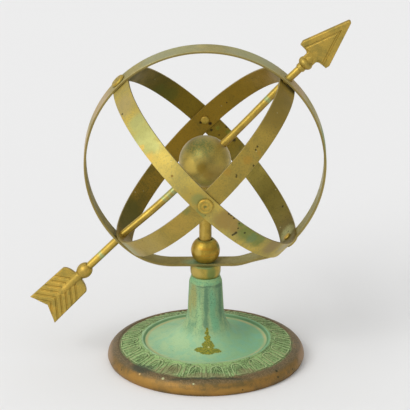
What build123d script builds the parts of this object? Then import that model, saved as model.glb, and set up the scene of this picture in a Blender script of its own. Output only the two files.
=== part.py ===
from build123d import *
import os
from math import asin, atan2, cos, degrees, hypot, radians, sin, sqrt

# Armillary sphere sundial: three riveted strip rings round a globe, pierced by an arrow and
# carried by a stem on a cast pillar base. Millimetres, +Z up. The origin is the point of the
# table under the pillar's axis. The meridian ring lies in the XZ plane.

# Strip rings
ring_radius = 100.0  # outside of the meridian ring, the largest of the three
ring_width = 17.0
ring_thickness = 2.0
shoulder_radius = 58.0  # bend on each side of the flat where the meridian ring is clamped
polar_angle = 45.0  # slope of the arrow above the table

# Rivets at the four crossings
rivet_head_radius = 6.6
rivet_head_height = 2.6
rivet_rim_height = 1.0
rivet_top_radius = 4.6
rivet_dimple_radius = 1.6
rivet_dimple_depth = 0.6
rivet_shank_radius = 2.5
rivet_tail_radius = 3.5
rivet_tail_height = 2.0

# Globe and the stem that carries it
globe_radius = 21.5
stem_radius = 5.15  # one eighth inch brass pipe
stem_bore_radius = 3.4
stem_socket_depth = 7.0
stem_clearance = 0.08  # the stem turns in the pillar
fixed_clearance = 0.05  # round the stem and the rivets where nothing turns
stem_tail_length = 1.6  # stem that shows below its nut

# Turned pieces on the stem
collar_height = 11.0
collar_top_radius = 12.0
collar_belly_radius = 12.7
collar_foot_radius = 11.2
ball_radius = 12.0
ball_seat_radius = 7.6
ball_mouth_radius = 6.3  # countersink round the stem at the top of the ball
ball_mouth_depth = 1.6

# Nut and washer in the hollow of the base
washer_radius = 9.5
washer_thickness = 1.2
nut_across_flats = 14.3
nut_thickness = 4.6

# Arrow
rod_radius = 3.175  # quarter inch brass rod
rod_fit_clearance = 0.09  # sliding fit in the globe and turning fit in the two castings
rod_ring_clearance = 0.3
rod_socket_depth = 12.0
socket_end_gap = 0.2

arrow_offset = 2.5  # the arrow passes this far above the rings' centre
head_gap = 12.5  # from the meridian ring to the head's ferrule
ferrule_radius = 4.1
ferrule_length = 3.4
bead_length = 7.0
bead_radius = 6.3
neck_half_width = 5.5
neck_length = 2.3
barb_setback = 5.0  # from the bead's front to the back edges of the barbs
barb_half_width = 15.5
barb_corner_length = 3.6
barb_corner_width = 0.9
head_length = 58.5  # ferrule to tip
head_tip_radius = 2.2
head_web_half_thickness = 1.3
head_rib_half_thickness = 2.6
head_rib_width = 5.0
head_field_half_thickness = 1.9
head_field_gap = 1.5  # groove between the ribs and the field
head_field_setback = 1.1

tail_gap = 34.0  # from the meridian ring to the tail's collar
tail_collar_length = 11.0
tail_collar_radius = 6.3
tail_length = 55.5  # collar to the ends of the feathers
tail_neck_length = 1.8
tail_neck_half_width = 3.4  # less than the spine, which covers it
tail_shoulder_length = 4.7
tail_near_half_width = 14.0
tail_far_half_width = 14.9
tail_notch_depth = 6.2
tail_web_half_thickness = 1.4
tail_barb_half_thickness = 2.3
tail_spine_root_radius = 4.2
tail_spine_radius = 3.3
tail_spine_length = 20.0  # collar to where the spine begins to die away
tail_spine_end_length = 10.0
tail_spine_end_radius = 1.0  # less than the web, so the spine dies away in it
tail_groove_setback = 0.8
tail_groove_width = 1.1
tail_groove_pitch = 5.7
tail_groove_angle = 52.0
tail_groove_count = 6
tail_turn = 15.0  # the feathers stand turned by this much from the meridian plane

# Cast base
base_radius = 81.8
foot_inset = 1.4
foot_width = 4.9
widest_height = 3.6
rim_width = 8.6  # from the widest line in to the groove round the band
rim_top_height = 12.9
rim_groove_width = 1.2
rim_groove_depth = 0.7
band_width = 16.9
band_rise = 4.7
ridge_half_width = 2.1
ridge_relief = 1.1
field_drop = 0.7  # the dish lies this far below the band's inner edge
flare_radius = 30.0
pillar_foot_radius = 16.4
pillar_shoulder_radius = 13.7
pillar_top_radius = 11.9
pillar_shoulder_drop = 5.0
pillar_height = 75.0
base_wall = 4.2

# Arches and darts in relief on the sloping band of the base
arch_count = 22
arch_round_radius = 5.4  # the round end of an arch, towards the ridge
arch_flare = 1.2  # the open end is wider than the round end by this much on each side
arch_margin = 1.0
arch_line_width = 1.5
arch_relief = 0.9
stroke_count = 3
stroke_angle = 22.0
stroke_width = 1.2
dart_half_width = 1.3

# Places that follow from the sizes above
half_width = ring_width / 2
head_start = ring_radius + head_gap
tail_start = ring_radius + tail_gap
crossing_half_angle = degrees(asin(half_width / ring_radius))
flat_angle = max(polar_angle, 90 - polar_angle) + crossing_half_angle + 0.5
shoulder_x = (ring_radius - shoulder_radius) * cos(radians(flat_angle))
shoulder_drop = (ring_radius - shoulder_radius) * sin(radians(flat_angle))
ring_drop = shoulder_drop + shoulder_radius

ring_foot_height = pillar_height + collar_height
sphere_height = ring_foot_height + ring_drop
centre = Vector(0, 0, sphere_height)
polar = Vector(cos(radians(polar_angle)), 0, sin(radians(polar_angle)))
across = Vector(-sin(radians(polar_angle)), 0, cos(radians(polar_angle)))
arrow_centre = centre + across * arrow_offset
front = Vector(0, -1, 0)

meridian_inner_radius = ring_radius - ring_thickness
equatorial_inner_radius = meridian_inner_radius - ring_thickness
hour_inner_radius = equatorial_inner_radius - ring_thickness

upright = Plane(origin=(0, 0, 0), x_dir=(1, 0, 0), z_dir=(0, -1, 0))
meridian_plane = Plane(origin=centre, x_dir=(1, 0, 0), z_dir=front)
meridian_axis = Plane(origin=centre, x_dir=polar, z_dir=front)
polar_axis = Plane(origin=centre, x_dir=front, z_dir=polar)
arrow_axis = Plane(origin=arrow_centre, x_dir=front, z_dir=polar)
crossing_axis = Plane(origin=centre, x_dir=front, z_dir=across)
arrow_plane = Plane(origin=arrow_centre, x_dir=polar, z_dir=front)
feather_normal = front * cos(radians(tail_turn)) + across * sin(radians(tail_turn))
feather_plane = Plane(origin=arrow_centre, x_dir=polar, z_dir=feather_normal)

os.makedirs("parts", exist_ok=True)
through = 3 * ring_radius


# Meridian ring: a brass strip bent to a circle and pulled flat where the stem clamps it
with BuildPart() as meridian_ring:
    with BuildSketch(meridian_plane):
        with BuildLine():
            CenterArc((0, 0), ring_radius, -flat_angle, 180 + 2 * flat_angle)
            CenterArc((shoulder_x, -shoulder_drop), shoulder_radius, -90, 90 - flat_angle)
            CenterArc((-shoulder_x, -shoulder_drop), shoulder_radius, 180 + flat_angle, 90 - flat_angle)
            Line((-shoulder_x, -ring_drop), (shoulder_x, -ring_drop))
        make_face()
        offset(amount=-ring_thickness, mode=Mode.SUBTRACT)
    extrude(amount=half_width, both=True)
    with Locations(crossing_axis):
        Cylinder(rivet_shank_radius + fixed_clearance, through, mode=Mode.SUBTRACT)
    with Locations(arrow_axis):
        Cylinder(rod_radius + rod_ring_clearance, through, mode=Mode.SUBTRACT)
    with Locations(Plane.XY.offset(ring_foot_height)):
        Cylinder(stem_radius + stem_clearance, 4 * ring_thickness, mode=Mode.SUBTRACT)
meridian_ring.part.label = "meridian_ring"
export_step(meridian_ring.part, "parts/meridian_ring.step")

# Equatorial ring: square to the arrow, seated inside the meridian ring at its two crossings
with BuildPart() as equatorial_ring:
    with BuildSketch(polar_axis):
        Circle(meridian_inner_radius)
        Circle(equatorial_inner_radius, mode=Mode.SUBTRACT)
    extrude(amount=half_width, both=True)
    with Locations(meridian_axis):
        Cylinder(meridian_inner_radius, through, mode=Mode.INTERSECT)
        Cylinder(rivet_shank_radius + fixed_clearance, through, mode=Mode.SUBTRACT)
    with Locations(crossing_axis):
        Cylinder(rivet_shank_radius + fixed_clearance, through, mode=Mode.SUBTRACT)
equatorial_ring.part.label = "equatorial_ring"
export_step(equatorial_ring.part, "parts/equatorial_ring.step")

# Hour ring: along the arrow, seated inside the equatorial ring at the front and the back
with BuildPart() as hour_ring:
    with BuildSketch(crossing_axis):
        Circle(equatorial_inner_radius)
        Circle(hour_inner_radius, mode=Mode.SUBTRACT)
    extrude(amount=half_width, both=True)
    with Locations(polar_axis):
        Cylinder(equatorial_inner_radius, through, mode=Mode.INTERSECT)
    with Locations(arrow_axis):
        Cylinder(rod_radius + rod_ring_clearance, through, mode=Mode.SUBTRACT)
    with Locations(meridian_axis):
        Cylinder(rivet_shank_radius + fixed_clearance, through, mode=Mode.SUBTRACT)
hour_ring.part.label = "hour_ring"
export_step(hour_ring.part, "parts/hour_ring.step")


def make_rivet(name, outward, outer_radius, inner_radius):
    """One rivet: its head on the outer strip, its closed tail inside the inner strip."""
    seat = centre + outward * outer_radius
    side = Vector(0, 1, 0) if abs(outward.Y) < 0.5 else polar
    grip = outer_radius - sqrt(inner_radius**2 - rivet_tail_radius**2)
    tail_rim = -grip - rivet_tail_height / 2
    tail_top = -grip - rivet_tail_height
    tail_dome_radius = (rivet_tail_radius**2 + (tail_rim - tail_top) ** 2) / (2 * (tail_rim - tail_top))
    with BuildPart() as rivet:
        with BuildSketch(Plane(origin=seat, x_dir=side, z_dir=side.cross(outward))):
            with BuildLine():
                Line((0, tail_top), (0, rivet_head_height - rivet_dimple_depth))
                Line((0, rivet_head_height - rivet_dimple_depth), (rivet_dimple_radius, rivet_head_height))
                Line((rivet_dimple_radius, rivet_head_height), (rivet_top_radius, rivet_head_height))
                RadiusArc(
                    (rivet_top_radius, rivet_head_height),
                    (rivet_head_radius, rivet_rim_height),
                    1.4 * (rivet_head_radius - rivet_top_radius),
                )
                Line((rivet_head_radius, rivet_rim_height), (rivet_head_radius, 0))
                Line((rivet_head_radius, 0), (rivet_shank_radius, 0))
                Line((rivet_shank_radius, 0), (rivet_shank_radius, -grip))
                Line((rivet_shank_radius, -grip), (rivet_tail_radius, -grip))
                Line((rivet_tail_radius, -grip), (rivet_tail_radius, tail_rim))
                RadiusArc((rivet_tail_radius, tail_rim), (0, tail_top), tail_dome_radius)
            make_face()
        revolve(axis=Axis(seat, outward))
    rivet.part.label = name
    export_step(rivet.part, f"parts/{name}.step")


make_rivet("front_rivet", front, meridian_inner_radius, hour_inner_radius)
make_rivet("rear_rivet", -front, meridian_inner_radius, hour_inner_radius)
make_rivet("upper_rivet", across, ring_radius, equatorial_inner_radius)
make_rivet("lower_rivet", -across, ring_radius, equatorial_inner_radius)

# Globe: a turned ball bored through for the arrow and drilled from below for the stem
globe_foot_height = sphere_height - globe_radius
stem_top = globe_foot_height + stem_socket_depth
with BuildPart() as globe:
    with Locations(centre):
        Sphere(globe_radius)
    with Locations(arrow_axis):
        Cylinder(rod_radius + rod_fit_clearance, 3 * globe_radius, mode=Mode.SUBTRACT)
    with BuildSketch(Plane.XY.offset(globe_foot_height)):
        Circle(stem_radius + fixed_clearance)
    extrude(amount=stem_socket_depth, mode=Mode.SUBTRACT)
globe.part.label = "globe"
export_step(globe.part, "parts/globe.step")

# Stem pipe: from the globe down through ball, strip, collar and pillar to the nut
band_outer_height = rim_top_height - rim_groove_depth
band_inner_height = band_outer_height + band_rise
field_height = band_inner_height - field_drop
nut_seat_height = field_height - base_wall
nut_foot_height = nut_seat_height - washer_thickness - nut_thickness
stem_foot = nut_foot_height - stem_tail_length
with BuildPart() as stem_pipe:
    with BuildSketch(Plane.XY.offset(stem_foot)):
        Circle(stem_radius)
        Circle(stem_bore_radius, mode=Mode.SUBTRACT)
    extrude(amount=stem_top - stem_foot)
stem_pipe.part.label = "stem_pipe"
export_step(stem_pipe.part, "parts/stem_pipe.step")

# Ball: tapped on the stem, it presses the meridian ring down on the collar
ball_seat_height = ring_foot_height + ring_thickness
ball_drop = sqrt(ball_radius**2 - ball_seat_radius**2)
ball_height = ball_seat_height + ball_drop
ball_mouth_height = ball_height + sqrt(ball_radius**2 - ball_mouth_radius**2)
ball_thread_height = ball_mouth_height - ball_mouth_depth
stem_hole_radius = stem_radius + fixed_clearance
with BuildPart() as ball_nut:
    with BuildSketch(upright):
        with BuildLine():
            Line((stem_hole_radius, ball_seat_height), (ball_seat_radius, ball_seat_height))
            ThreePointArc(
                (ball_seat_radius, ball_seat_height),
                (ball_radius, ball_height),
                (ball_mouth_radius, ball_mouth_height),
            )
            Line((ball_mouth_radius, ball_mouth_height), (stem_hole_radius, ball_thread_height))
            Line((stem_hole_radius, ball_thread_height), (stem_hole_radius, ball_seat_height))
        make_face()
    revolve(axis=Axis.Z)
ball_nut.part.label = "ball_nut"
export_step(ball_nut.part, "parts/ball_nut.step")

# Collar: the barrel-shaped spacer between the pillar and the meridian ring
with BuildPart() as collar:
    with BuildSketch(upright):
        with BuildLine():
            Line((stem_hole_radius, pillar_height), (collar_foot_radius, pillar_height))
            ThreePointArc(
                (collar_foot_radius, pillar_height),
                (collar_belly_radius, pillar_height + 0.6 * collar_height),
                (collar_top_radius, ring_foot_height),
            )
            Line((collar_top_radius, ring_foot_height), (stem_hole_radius, ring_foot_height))
            Line((stem_hole_radius, ring_foot_height), (stem_hole_radius, pillar_height))
        make_face()
    revolve(axis=Axis.Z)
collar.part.label = "collar"
export_step(collar.part, "parts/collar.step")

# Washer and hexagon nut that hold the stem down from inside the base
with BuildPart() as stem_washer:
    with BuildSketch(Plane.XY.offset(nut_seat_height - washer_thickness)):
        Circle(washer_radius)
        Circle(stem_hole_radius, mode=Mode.SUBTRACT)
    extrude(amount=washer_thickness)
stem_washer.part.label = "stem_washer"
export_step(stem_washer.part, "parts/stem_washer.step")

with BuildPart() as stem_nut:
    with BuildSketch(Plane.XY.offset(nut_foot_height)):
        RegularPolygon(nut_across_flats / 2, 6, major_radius=False)
        Circle(stem_hole_radius, mode=Mode.SUBTRACT)
    extrude(amount=nut_thickness)
stem_nut.part.label = "stem_nut"
export_step(stem_nut.part, "parts/stem_nut.step")

# Gnomon rod: the shaft of the arrow, through both rings and the globe
rod_front = head_start + rod_socket_depth - socket_end_gap
rod_back = tail_start + rod_socket_depth - socket_end_gap
with BuildPart() as gnomon_rod:
    with BuildSketch(arrow_axis.offset(-rod_back)):
        Circle(rod_radius)
    extrude(amount=rod_back + rod_front)
gnomon_rod.part.label = "gnomon_rod"
export_step(gnomon_rod.part, "parts/gnomon_rod.step")

# Arrowhead: a cast blade with raised border ribs round a sunk field, on a beaded socket
bead_start = head_start + ferrule_length
bead_middle = bead_start + bead_length / 2
bead_front = bead_start + bead_length
barb_back = bead_front + barb_setback
head_tip = head_start + head_length
edge_start = barb_back + barb_corner_length
edge_slope = (barb_half_width - head_tip_radius) / (head_tip - head_tip_radius - edge_start)
rib_step = head_rib_width / cos(atan2(edge_slope, 1))
rib_apex = edge_start + (barb_half_width - rib_step) / edge_slope
field_back = barb_back + head_field_setback
field_apex = rib_apex - head_field_gap / sin(atan2(edge_slope, 1))
with BuildPart() as arrowhead:
    with BuildSketch(arrow_plane) as blade:
        with BuildLine():
            Line((bead_middle, 0), (bead_middle, neck_half_width))
            Line((bead_middle, neck_half_width), (bead_front + neck_length, neck_half_width))
            RadiusArc(
                (bead_front + neck_length, neck_half_width),
                (barb_back, 2 * neck_half_width),
                -1.2 * neck_half_width,
            )
            Line((barb_back, 2 * neck_half_width), (barb_back, barb_half_width - barb_corner_width))
            Line((barb_back, barb_half_width - barb_corner_width), (edge_start, barb_half_width))
            Line((edge_start, barb_half_width), (head_tip - head_tip_radius, head_tip_radius))
            RadiusArc((head_tip - head_tip_radius, head_tip_radius), (head_tip, 0), head_tip_radius)
            mirror(about=Plane.XZ)
        make_face()
    extrude(amount=head_web_half_thickness, both=True)
    with BuildSketch(arrow_plane):
        add(blade.sketch_local)
        with BuildLine():
            Polyline(
                (bead_middle, (bead_middle - rib_apex) * edge_slope),
                (bead_middle, (rib_apex - bead_middle) * edge_slope),
                (rib_apex, 0),
                close=True,
            )
        make_face(mode=Mode.SUBTRACT)
    extrude(amount=head_rib_half_thickness, both=True)
    with BuildSketch(arrow_plane):
        with BuildLine():
            Polyline(
                (field_back, (field_back - field_apex) * edge_slope),
                (field_back, (field_apex - field_back) * edge_slope),
                (field_apex, 0),
                close=True,
            )
        make_face()
        with Locations((bead_middle, 0)):
            Rectangle(field_back - bead_middle, 2 * neck_half_width, align=(Align.MIN, Align.CENTER))
    extrude(amount=head_field_half_thickness, both=True)
    with BuildSketch(arrow_plane):
        with BuildLine():
            Line((head_start, 0), (head_start, ferrule_radius))
            Line((head_start, ferrule_radius), (bead_start, ferrule_radius))
            ThreePointArc(
                (bead_start, ferrule_radius),
                (bead_middle, bead_radius),
                (bead_front, ferrule_radius),
            )
            Line((bead_front, ferrule_radius), (field_back, head_field_half_thickness))
            Line((field_back, head_field_half_thickness), (field_back, 0))
            Line((field_back, 0), (head_start, 0))
        make_face()
    revolve(axis=Axis(arrow_centre, polar))
    with BuildSketch(arrow_axis.offset(head_start)):
        Circle(rod_radius + rod_fit_clearance)
    extrude(amount=rod_socket_depth, mode=Mode.SUBTRACT)
arrowhead.part.label = "arrowhead"
export_step(arrowhead.part, "parts/arrowhead.step")

# Arrow tail: cast feathers with slanting barbs on both faces, a half-round spine and a collar
collar_middle = tail_start + tail_collar_length / 2
collar_back = tail_start + tail_collar_length
shoulder_start = collar_back + tail_neck_length
feather_start = shoulder_start + tail_shoulder_length
feather_end = tail_start + tail_length
spine_taper = collar_back + tail_spine_length
spine_end = spine_taper + tail_spine_end_length
with BuildPart() as arrow_tail:
    with BuildSketch(feather_plane) as feathers:
        with BuildLine():
            Line((-collar_middle, 0), (-collar_middle, tail_neck_half_width))
            Line((-collar_middle, tail_neck_half_width), (-shoulder_start, tail_neck_half_width))
            RadiusArc(
                (-shoulder_start, tail_neck_half_width),
                (-feather_start, tail_near_half_width),
                1.3 * tail_near_half_width,
            )
            Line((-feather_start, tail_near_half_width), (-feather_end, tail_far_half_width))
            Line((-feather_end, tail_far_half_width), (tail_notch_depth - feather_end, 0))
            mirror(about=Plane.XZ)
        make_face()
    extrude(amount=tail_web_half_thickness, both=True)
    with BuildSketch(feather_plane):
        add(feathers.sketch_local)
        for i in range(tail_groove_count):
            groove_x = tail_groove_setback - feather_start - i * tail_groove_pitch
            for side in (1, -1):
                with Locations((groove_x, 0)):
                    Rectangle(
                        3 * tail_far_half_width,
                        tail_groove_width,
                        rotation=side * (180 - tail_groove_angle),
                        align=(Align.MIN, Align.CENTER),
                        mode=Mode.SUBTRACT,
                    )
    extrude(amount=tail_barb_half_thickness, both=True)
    with BuildSketch(feather_plane):
        with BuildLine():
            Line((-tail_start, 0), (-tail_start, ferrule_radius))
            ThreePointArc(
                (-tail_start, ferrule_radius),
                (-collar_middle, tail_collar_radius),
                (-collar_back, tail_spine_root_radius),
            )
            Line((-collar_back, tail_spine_root_radius), (-spine_taper, tail_spine_radius))
            Line((-spine_taper, tail_spine_radius), (-spine_end, tail_spine_end_radius))
            Line((-spine_end, tail_spine_end_radius), (-spine_end, 0))
            Line((-spine_end, 0), (-tail_start, 0))
        make_face()
    revolve(axis=Axis(arrow_centre, polar))
    with BuildSketch(arrow_axis.offset(-tail_start)):
        Circle(rod_radius + rod_fit_clearance)
    extrude(amount=-rod_socket_depth, mode=Mode.SUBTRACT)
arrow_tail.part.label = "arrow_tail"
export_step(arrow_tail.part, "parts/arrow_tail.step")

# Relief of the base's sloping band: arches with strokes in them and darts between them
foot_radius = base_radius - foot_inset
foot_inner_radius = foot_radius - foot_width
rim_top_radius = base_radius - rim_width
band_outer_radius = rim_top_radius - rim_groove_width
band_inner_radius = band_outer_radius - band_width
ridge_radius = band_inner_radius - ridge_half_width
field_radius = ridge_radius - ridge_half_width
band_slope = atan2(band_rise, band_width)
band_length = hypot(band_rise, band_width)
band_plane = Plane(
    origin=(band_inner_radius, 0, band_inner_height),
    x_dir=(cos(band_slope), 0, -sin(band_slope)),
    z_dir=(sin(band_slope), 0, cos(band_slope)),
)
arch_middle = arch_margin + arch_round_radius
arch_end = band_length - arch_margin
arch_end_half_width = arch_round_radius + arch_flare
stroke_length = arch_end - arch_margin - 2 * arch_line_width
with BuildPart() as relief_band:
    with BuildSketch(upright):
        with BuildLine():
            Polyline(
                (band_inner_radius, band_inner_height - base_wall / 2),
                (band_inner_radius, band_inner_height + arch_relief),
                (band_outer_radius, band_outer_height + arch_relief),
                (band_outer_radius, band_outer_height - base_wall / 2),
                close=True,
            )
        make_face()
    revolve(axis=Axis.Z)

with BuildPart() as arch:
    with BuildSketch(band_plane):
        with BuildLine():
            CenterArc((arch_middle, 0), arch_round_radius, 90, 180)
            Line((arch_middle, -arch_round_radius), (arch_end, -arch_end_half_width))
            Line((arch_end, -arch_end_half_width), (arch_end, arch_end_half_width))
            Line((arch_end, arch_end_half_width), (arch_middle, arch_round_radius))
        make_face()
        offset(amount=-arch_line_width, mode=Mode.SUBTRACT)
        with Locations((arch_margin + arch_line_width, 0)):
            for i in range(stroke_count):
                Rectangle(
                    stroke_length,
                    stroke_width,
                    rotation=stroke_angle * (i - (stroke_count - 1) / 2),
                    align=(Align.MIN, Align.CENTER),
                )
    extrude(amount=base_wall, both=True)
    add(relief_band.part, mode=Mode.INTERSECT)

with BuildPart() as dart:
    with BuildSketch(band_plane):
        with BuildLine():
            Polyline(
                (arch_margin, 0),
                (arch_end, -dart_half_width),
                (arch_end, dart_half_width),
                close=True,
            )
        make_face()
    extrude(amount=base_wall, both=True)
    add(relief_band.part, mode=Mode.INTERSECT)

# Base: one casting, a domed disc with a relief band and a ridge, flaring up into the pillar
pillar_bore_radius = stem_radius + stem_clearance
pillar_shoulder_height = pillar_height - pillar_shoulder_drop
rim_round_radius = 1.1 * rim_width
with BuildPart() as base_casting:
    with BuildSketch(upright):
        with BuildLine():
            Line((foot_inner_radius, 0), (foot_radius, 0))
            Line((foot_radius, 0), (base_radius, widest_height))
            RadiusArc((base_radius, widest_height), (rim_top_radius, rim_top_height), -rim_round_radius)
            Line((rim_top_radius, rim_top_height), (band_outer_radius, band_outer_height))
            Line((band_outer_radius, band_outer_height), (band_inner_radius, band_inner_height))
            ThreePointArc(
                (band_inner_radius, band_inner_height),
                (ridge_radius, band_inner_height + ridge_relief),
                (field_radius, field_height),
            )
            Line((field_radius, field_height), (pillar_foot_radius, field_height))
            Line((pillar_foot_radius, field_height), (pillar_shoulder_radius, pillar_shoulder_height))
            Line((pillar_shoulder_radius, pillar_shoulder_height), (pillar_top_radius, pillar_height))
            Line((pillar_top_radius, pillar_height), (pillar_bore_radius, pillar_height))
            Line((pillar_bore_radius, pillar_height), (pillar_bore_radius, nut_seat_height))
            Line((pillar_bore_radius, nut_seat_height), (band_inner_radius, nut_seat_height))
            Line((band_inner_radius, nut_seat_height), (band_outer_radius, band_outer_height - base_wall))
            Line((band_outer_radius, band_outer_height - base_wall), (foot_inner_radius, widest_height))
            Line((foot_inner_radius, widest_height), (foot_inner_radius, 0))
        make_face()
        flare_corner = vertices().sort_by_distance((pillar_foot_radius, field_height))[0]
        fillet(flare_corner, min(flare_radius, 0.95 * (field_radius - pillar_foot_radius)))
    revolve(axis=Axis.Z)
    with PolarLocations(0, arch_count):
        add(arch.part)
    with PolarLocations(0, arch_count, start_angle=180 / arch_count):
        add(dart.part)
base_casting.part.label = "base_casting"
export_step(base_casting.part, "parts/base_casting.step")
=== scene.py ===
import bmesh
import bpy
import numpy as np
from math import pi
from mathutils import Matrix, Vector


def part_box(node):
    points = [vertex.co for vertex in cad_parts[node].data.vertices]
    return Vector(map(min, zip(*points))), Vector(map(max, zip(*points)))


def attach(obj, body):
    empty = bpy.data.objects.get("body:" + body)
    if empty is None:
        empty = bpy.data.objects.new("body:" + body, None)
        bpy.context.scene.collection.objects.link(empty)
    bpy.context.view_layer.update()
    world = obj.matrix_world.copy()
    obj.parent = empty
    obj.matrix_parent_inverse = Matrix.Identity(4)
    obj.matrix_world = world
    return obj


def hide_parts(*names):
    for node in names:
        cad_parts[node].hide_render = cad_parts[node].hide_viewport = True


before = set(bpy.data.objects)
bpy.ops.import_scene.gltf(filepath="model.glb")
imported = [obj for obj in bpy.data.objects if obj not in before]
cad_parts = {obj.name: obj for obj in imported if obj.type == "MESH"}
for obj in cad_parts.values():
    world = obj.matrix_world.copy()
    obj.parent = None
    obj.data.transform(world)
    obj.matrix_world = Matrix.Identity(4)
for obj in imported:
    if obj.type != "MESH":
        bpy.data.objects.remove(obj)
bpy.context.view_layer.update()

scene = bpy.context.scene


# Base: one bronze casting, a domed disc with a band of arches in relief, flaring into the pillar.
# Cast, turned on the pillar and rim, then left out of doors until it turned green. The stem
# goes down its bore and is held from below by a nut.
pillar_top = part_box("base_casting")[1][2] * 1000
foot_ring_inside, foot_ring_outside = 75.5, 80.4
rim_outside, rim_inside, groove_outside = 81.8, 73.2, 72.0
rim_low, shoulder_high, bore_radius, band_length = 3.6, 12.9, 5.23, 17.54
band_inside, dish_edge = 55.1, 50.9
groove_floor, band_top, dish_floor, washer_seat = 12.2, 16.9, 16.2, 12.0
arches = 22
arch_round, arch_flare, arch_start, arch_end = 5.4, 1.2, 1.0, 16.54


def ripple(x, y, z, size, seed):
    """Soft unevenness of a casting: six plane waves in seeded directions, their sines added."""
    rng = np.random.default_rng(seed)
    way = rng.normal(size=(6, 3))
    way /= np.linalg.norm(way, axis=1)[:, None]
    length = size * rng.uniform(0.6, 1.5, 6)
    shift = rng.uniform(0, 2 * pi, 6)
    wave = sum(np.sin((x * w[0] + y * w[1] + z * w[2]) * 2 * pi / n + s)
               for w, n, s in zip(way, length, shift))
    return wave / 6


def grid_faces(rows, columns, close_rows=False, close_columns=True):
    """Quads of a grid of points, row after row: each joins a point, its right neighbour, the
    point above that one and the point above itself, going round where a direction is closed."""
    i = np.arange(rows if close_rows else rows - 1)[:, None]
    j = np.arange(columns if close_columns else columns - 1)[None, :]
    up, right = (i + 1) % rows, (j + 1) % columns
    quads = np.stack([i * columns + j, i * columns + right, up * columns + right, up * columns + j], -1)
    return quads.reshape(-1, 4)


def make_piece(name, points, faces, material, body, replaced, finish, **marks):
    """A mesh object from points in millimetres and arrays of quads. Marks are values kept on the
    points. Points that meet are merged, unused ones go, and the faces are turned outward. The
    piece rides on its body and stands for the CAD nodes that it replaces."""
    mesh = bpy.data.meshes.new(name)
    mesh.from_pydata((np.asarray(points).reshape(-1, 3) / 1000).tolist(), [],
                     [face for part in faces for face in part.tolist()])
    for mark, values in marks.items():
        mesh.attributes.new(mark, "FLOAT", "POINT").data.foreach_set("value", values)
    work = bmesh.new()
    work.from_mesh(mesh)
    bmesh.ops.remove_doubles(work, verts=work.verts, dist=2e-6)
    bmesh.ops.delete(work, geom=[point for point in work.verts if not point.link_faces], context="VERTS")
    bmesh.ops.recalc_face_normals(work, faces=work.faces)
    work.to_mesh(mesh)
    work.free()
    mesh.shade_smooth()
    mesh.materials.append(material)
    piece = bpy.data.objects.new(name, mesh)
    scene.collection.objects.link(piece)
    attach(piece, body)
    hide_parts(*replaced)
    return piece


def group_of(name, inputs, outputs):
    """An empty shader group with its named sockets, and its two end nodes."""
    group = bpy.data.node_groups.new(name, "ShaderNodeTree")
    for socket, kind, value in inputs:
        made = group.interface.new_socket(socket, in_out="INPUT", socket_type="NodeSocket" + kind)
        if value is not None:
            made.default_value = value
    for socket, kind in outputs:
        group.interface.new_socket(socket, in_out="OUTPUT", socket_type="NodeSocket" + kind)
    return group, group.nodes.new("NodeGroupInput"), group.nodes.new("NodeGroupOutput")


def join(source, target):
    """Feeds a socket from another socket, or sets it to a plain value."""
    if isinstance(source, bpy.types.NodeSocket):
        target.id_data.links.new(source, target)
    else:
        target.default_value = source


def new_node(kind, *values):
    """A new node in the shader tree that one of the values, a socket, belongs to."""
    socket = next(v for v in values if isinstance(v, bpy.types.NodeSocket))
    return socket.id_data.nodes.new("ShaderNode" + kind)


def math_of(operation, *values):
    """A Math node with its inputs fed or set, and its one output."""
    node = new_node("Math", *values)
    node.operation = operation
    for value, socket in zip(values, node.inputs):
        join(value, socket)
    return node.outputs[0]


def times(one, other):
    """Two values multiplied."""
    return math_of("MULTIPLY", one, other)


def plus(one, other):
    """Two values added."""
    return math_of("ADD", one, other)


def vector_of(operation, *values):
    """A Vector Math node with its inputs fed or set, and its result."""
    node = new_node("VectorMath", *values)
    node.operation = operation
    for value, socket in zip(values, node.inputs):
        join(value, socket)
    return node.outputs["Value"] if operation in ("LENGTH", "DOT_PRODUCT") else node.outputs[0]


def eased(value, low, high, start=0.0, end=1.0):
    """A value carried smoothly from start to end while it goes from low to high."""
    node = new_node("MapRange", value)
    node.interpolation_type = "SMOOTHSTEP"
    for source, socket in zip((value, low, high, start, end), node.inputs):
        join(source, socket)
    return node.outputs[0]


def noise_of(place, scale, detail=3.0, rough=0.55):
    """Cloudy noise at a place, as a value and as a colour."""
    node = new_node("TexNoise", place)
    join(place, node.inputs["Vector"])
    join(scale, node.inputs["Scale"])
    node.inputs["Detail"].default_value = detail
    node.inputs["Roughness"].default_value = rough
    return node.outputs[0], node.outputs[1]


def blend_of(share, under, over):
    """The colour under, covered by the colour over as far as the share says."""
    node = new_node("Mix", share, under, over)
    node.data_type = "RGBA"
    join(share, node.inputs[0])
    join(under, node.inputs[6])
    join(over, node.inputs[7])
    return node.outputs[2]


# Brass in three tones: a clean one, the dull one over most of it, and a dark film in clouds,
# with a fine light and dark grain
aged_brass, given, put = group_of(
    "aged brass",
    (("Place", "Vector", None), ("Scale", "Float", 60.0), ("Clean", "Color", (0.62, 0.44, 0.1, 1)),
     ("Dull", "Color", (0.4, 0.3, 0.07, 1)), ("Film", "Color", (0.2, 0.17, 0.05, 1)),
     ("Filmed", "Float", 0.4)),
    (("Colour", "Color"), ("Tarnish", "Float"), ("Grain", "Float")))
clouds = noise_of(given.outputs["Place"], given.outputs["Scale"], 4.0, 0.5)[0]
grain = noise_of(vector_of("MULTIPLY", given.outputs["Place"], (22.0, 22.0, 22.0)),
                 given.outputs["Scale"], 2.0, 0.6)[0]
second = noise_of(vector_of("ADD", given.outputs["Place"], (3.1, 1.7, 5.3)),
                  times(given.outputs["Scale"], 2.3), 5.0, 0.6)[0]
dull = eased(plus(clouds, times(grain, 0.16)), 0.42, 0.72)
film = times(eased(second, 0.45, 0.66), given.outputs["Filmed"])
tones = blend_of(dull, given.outputs["Clean"], given.outputs["Dull"])
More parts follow.
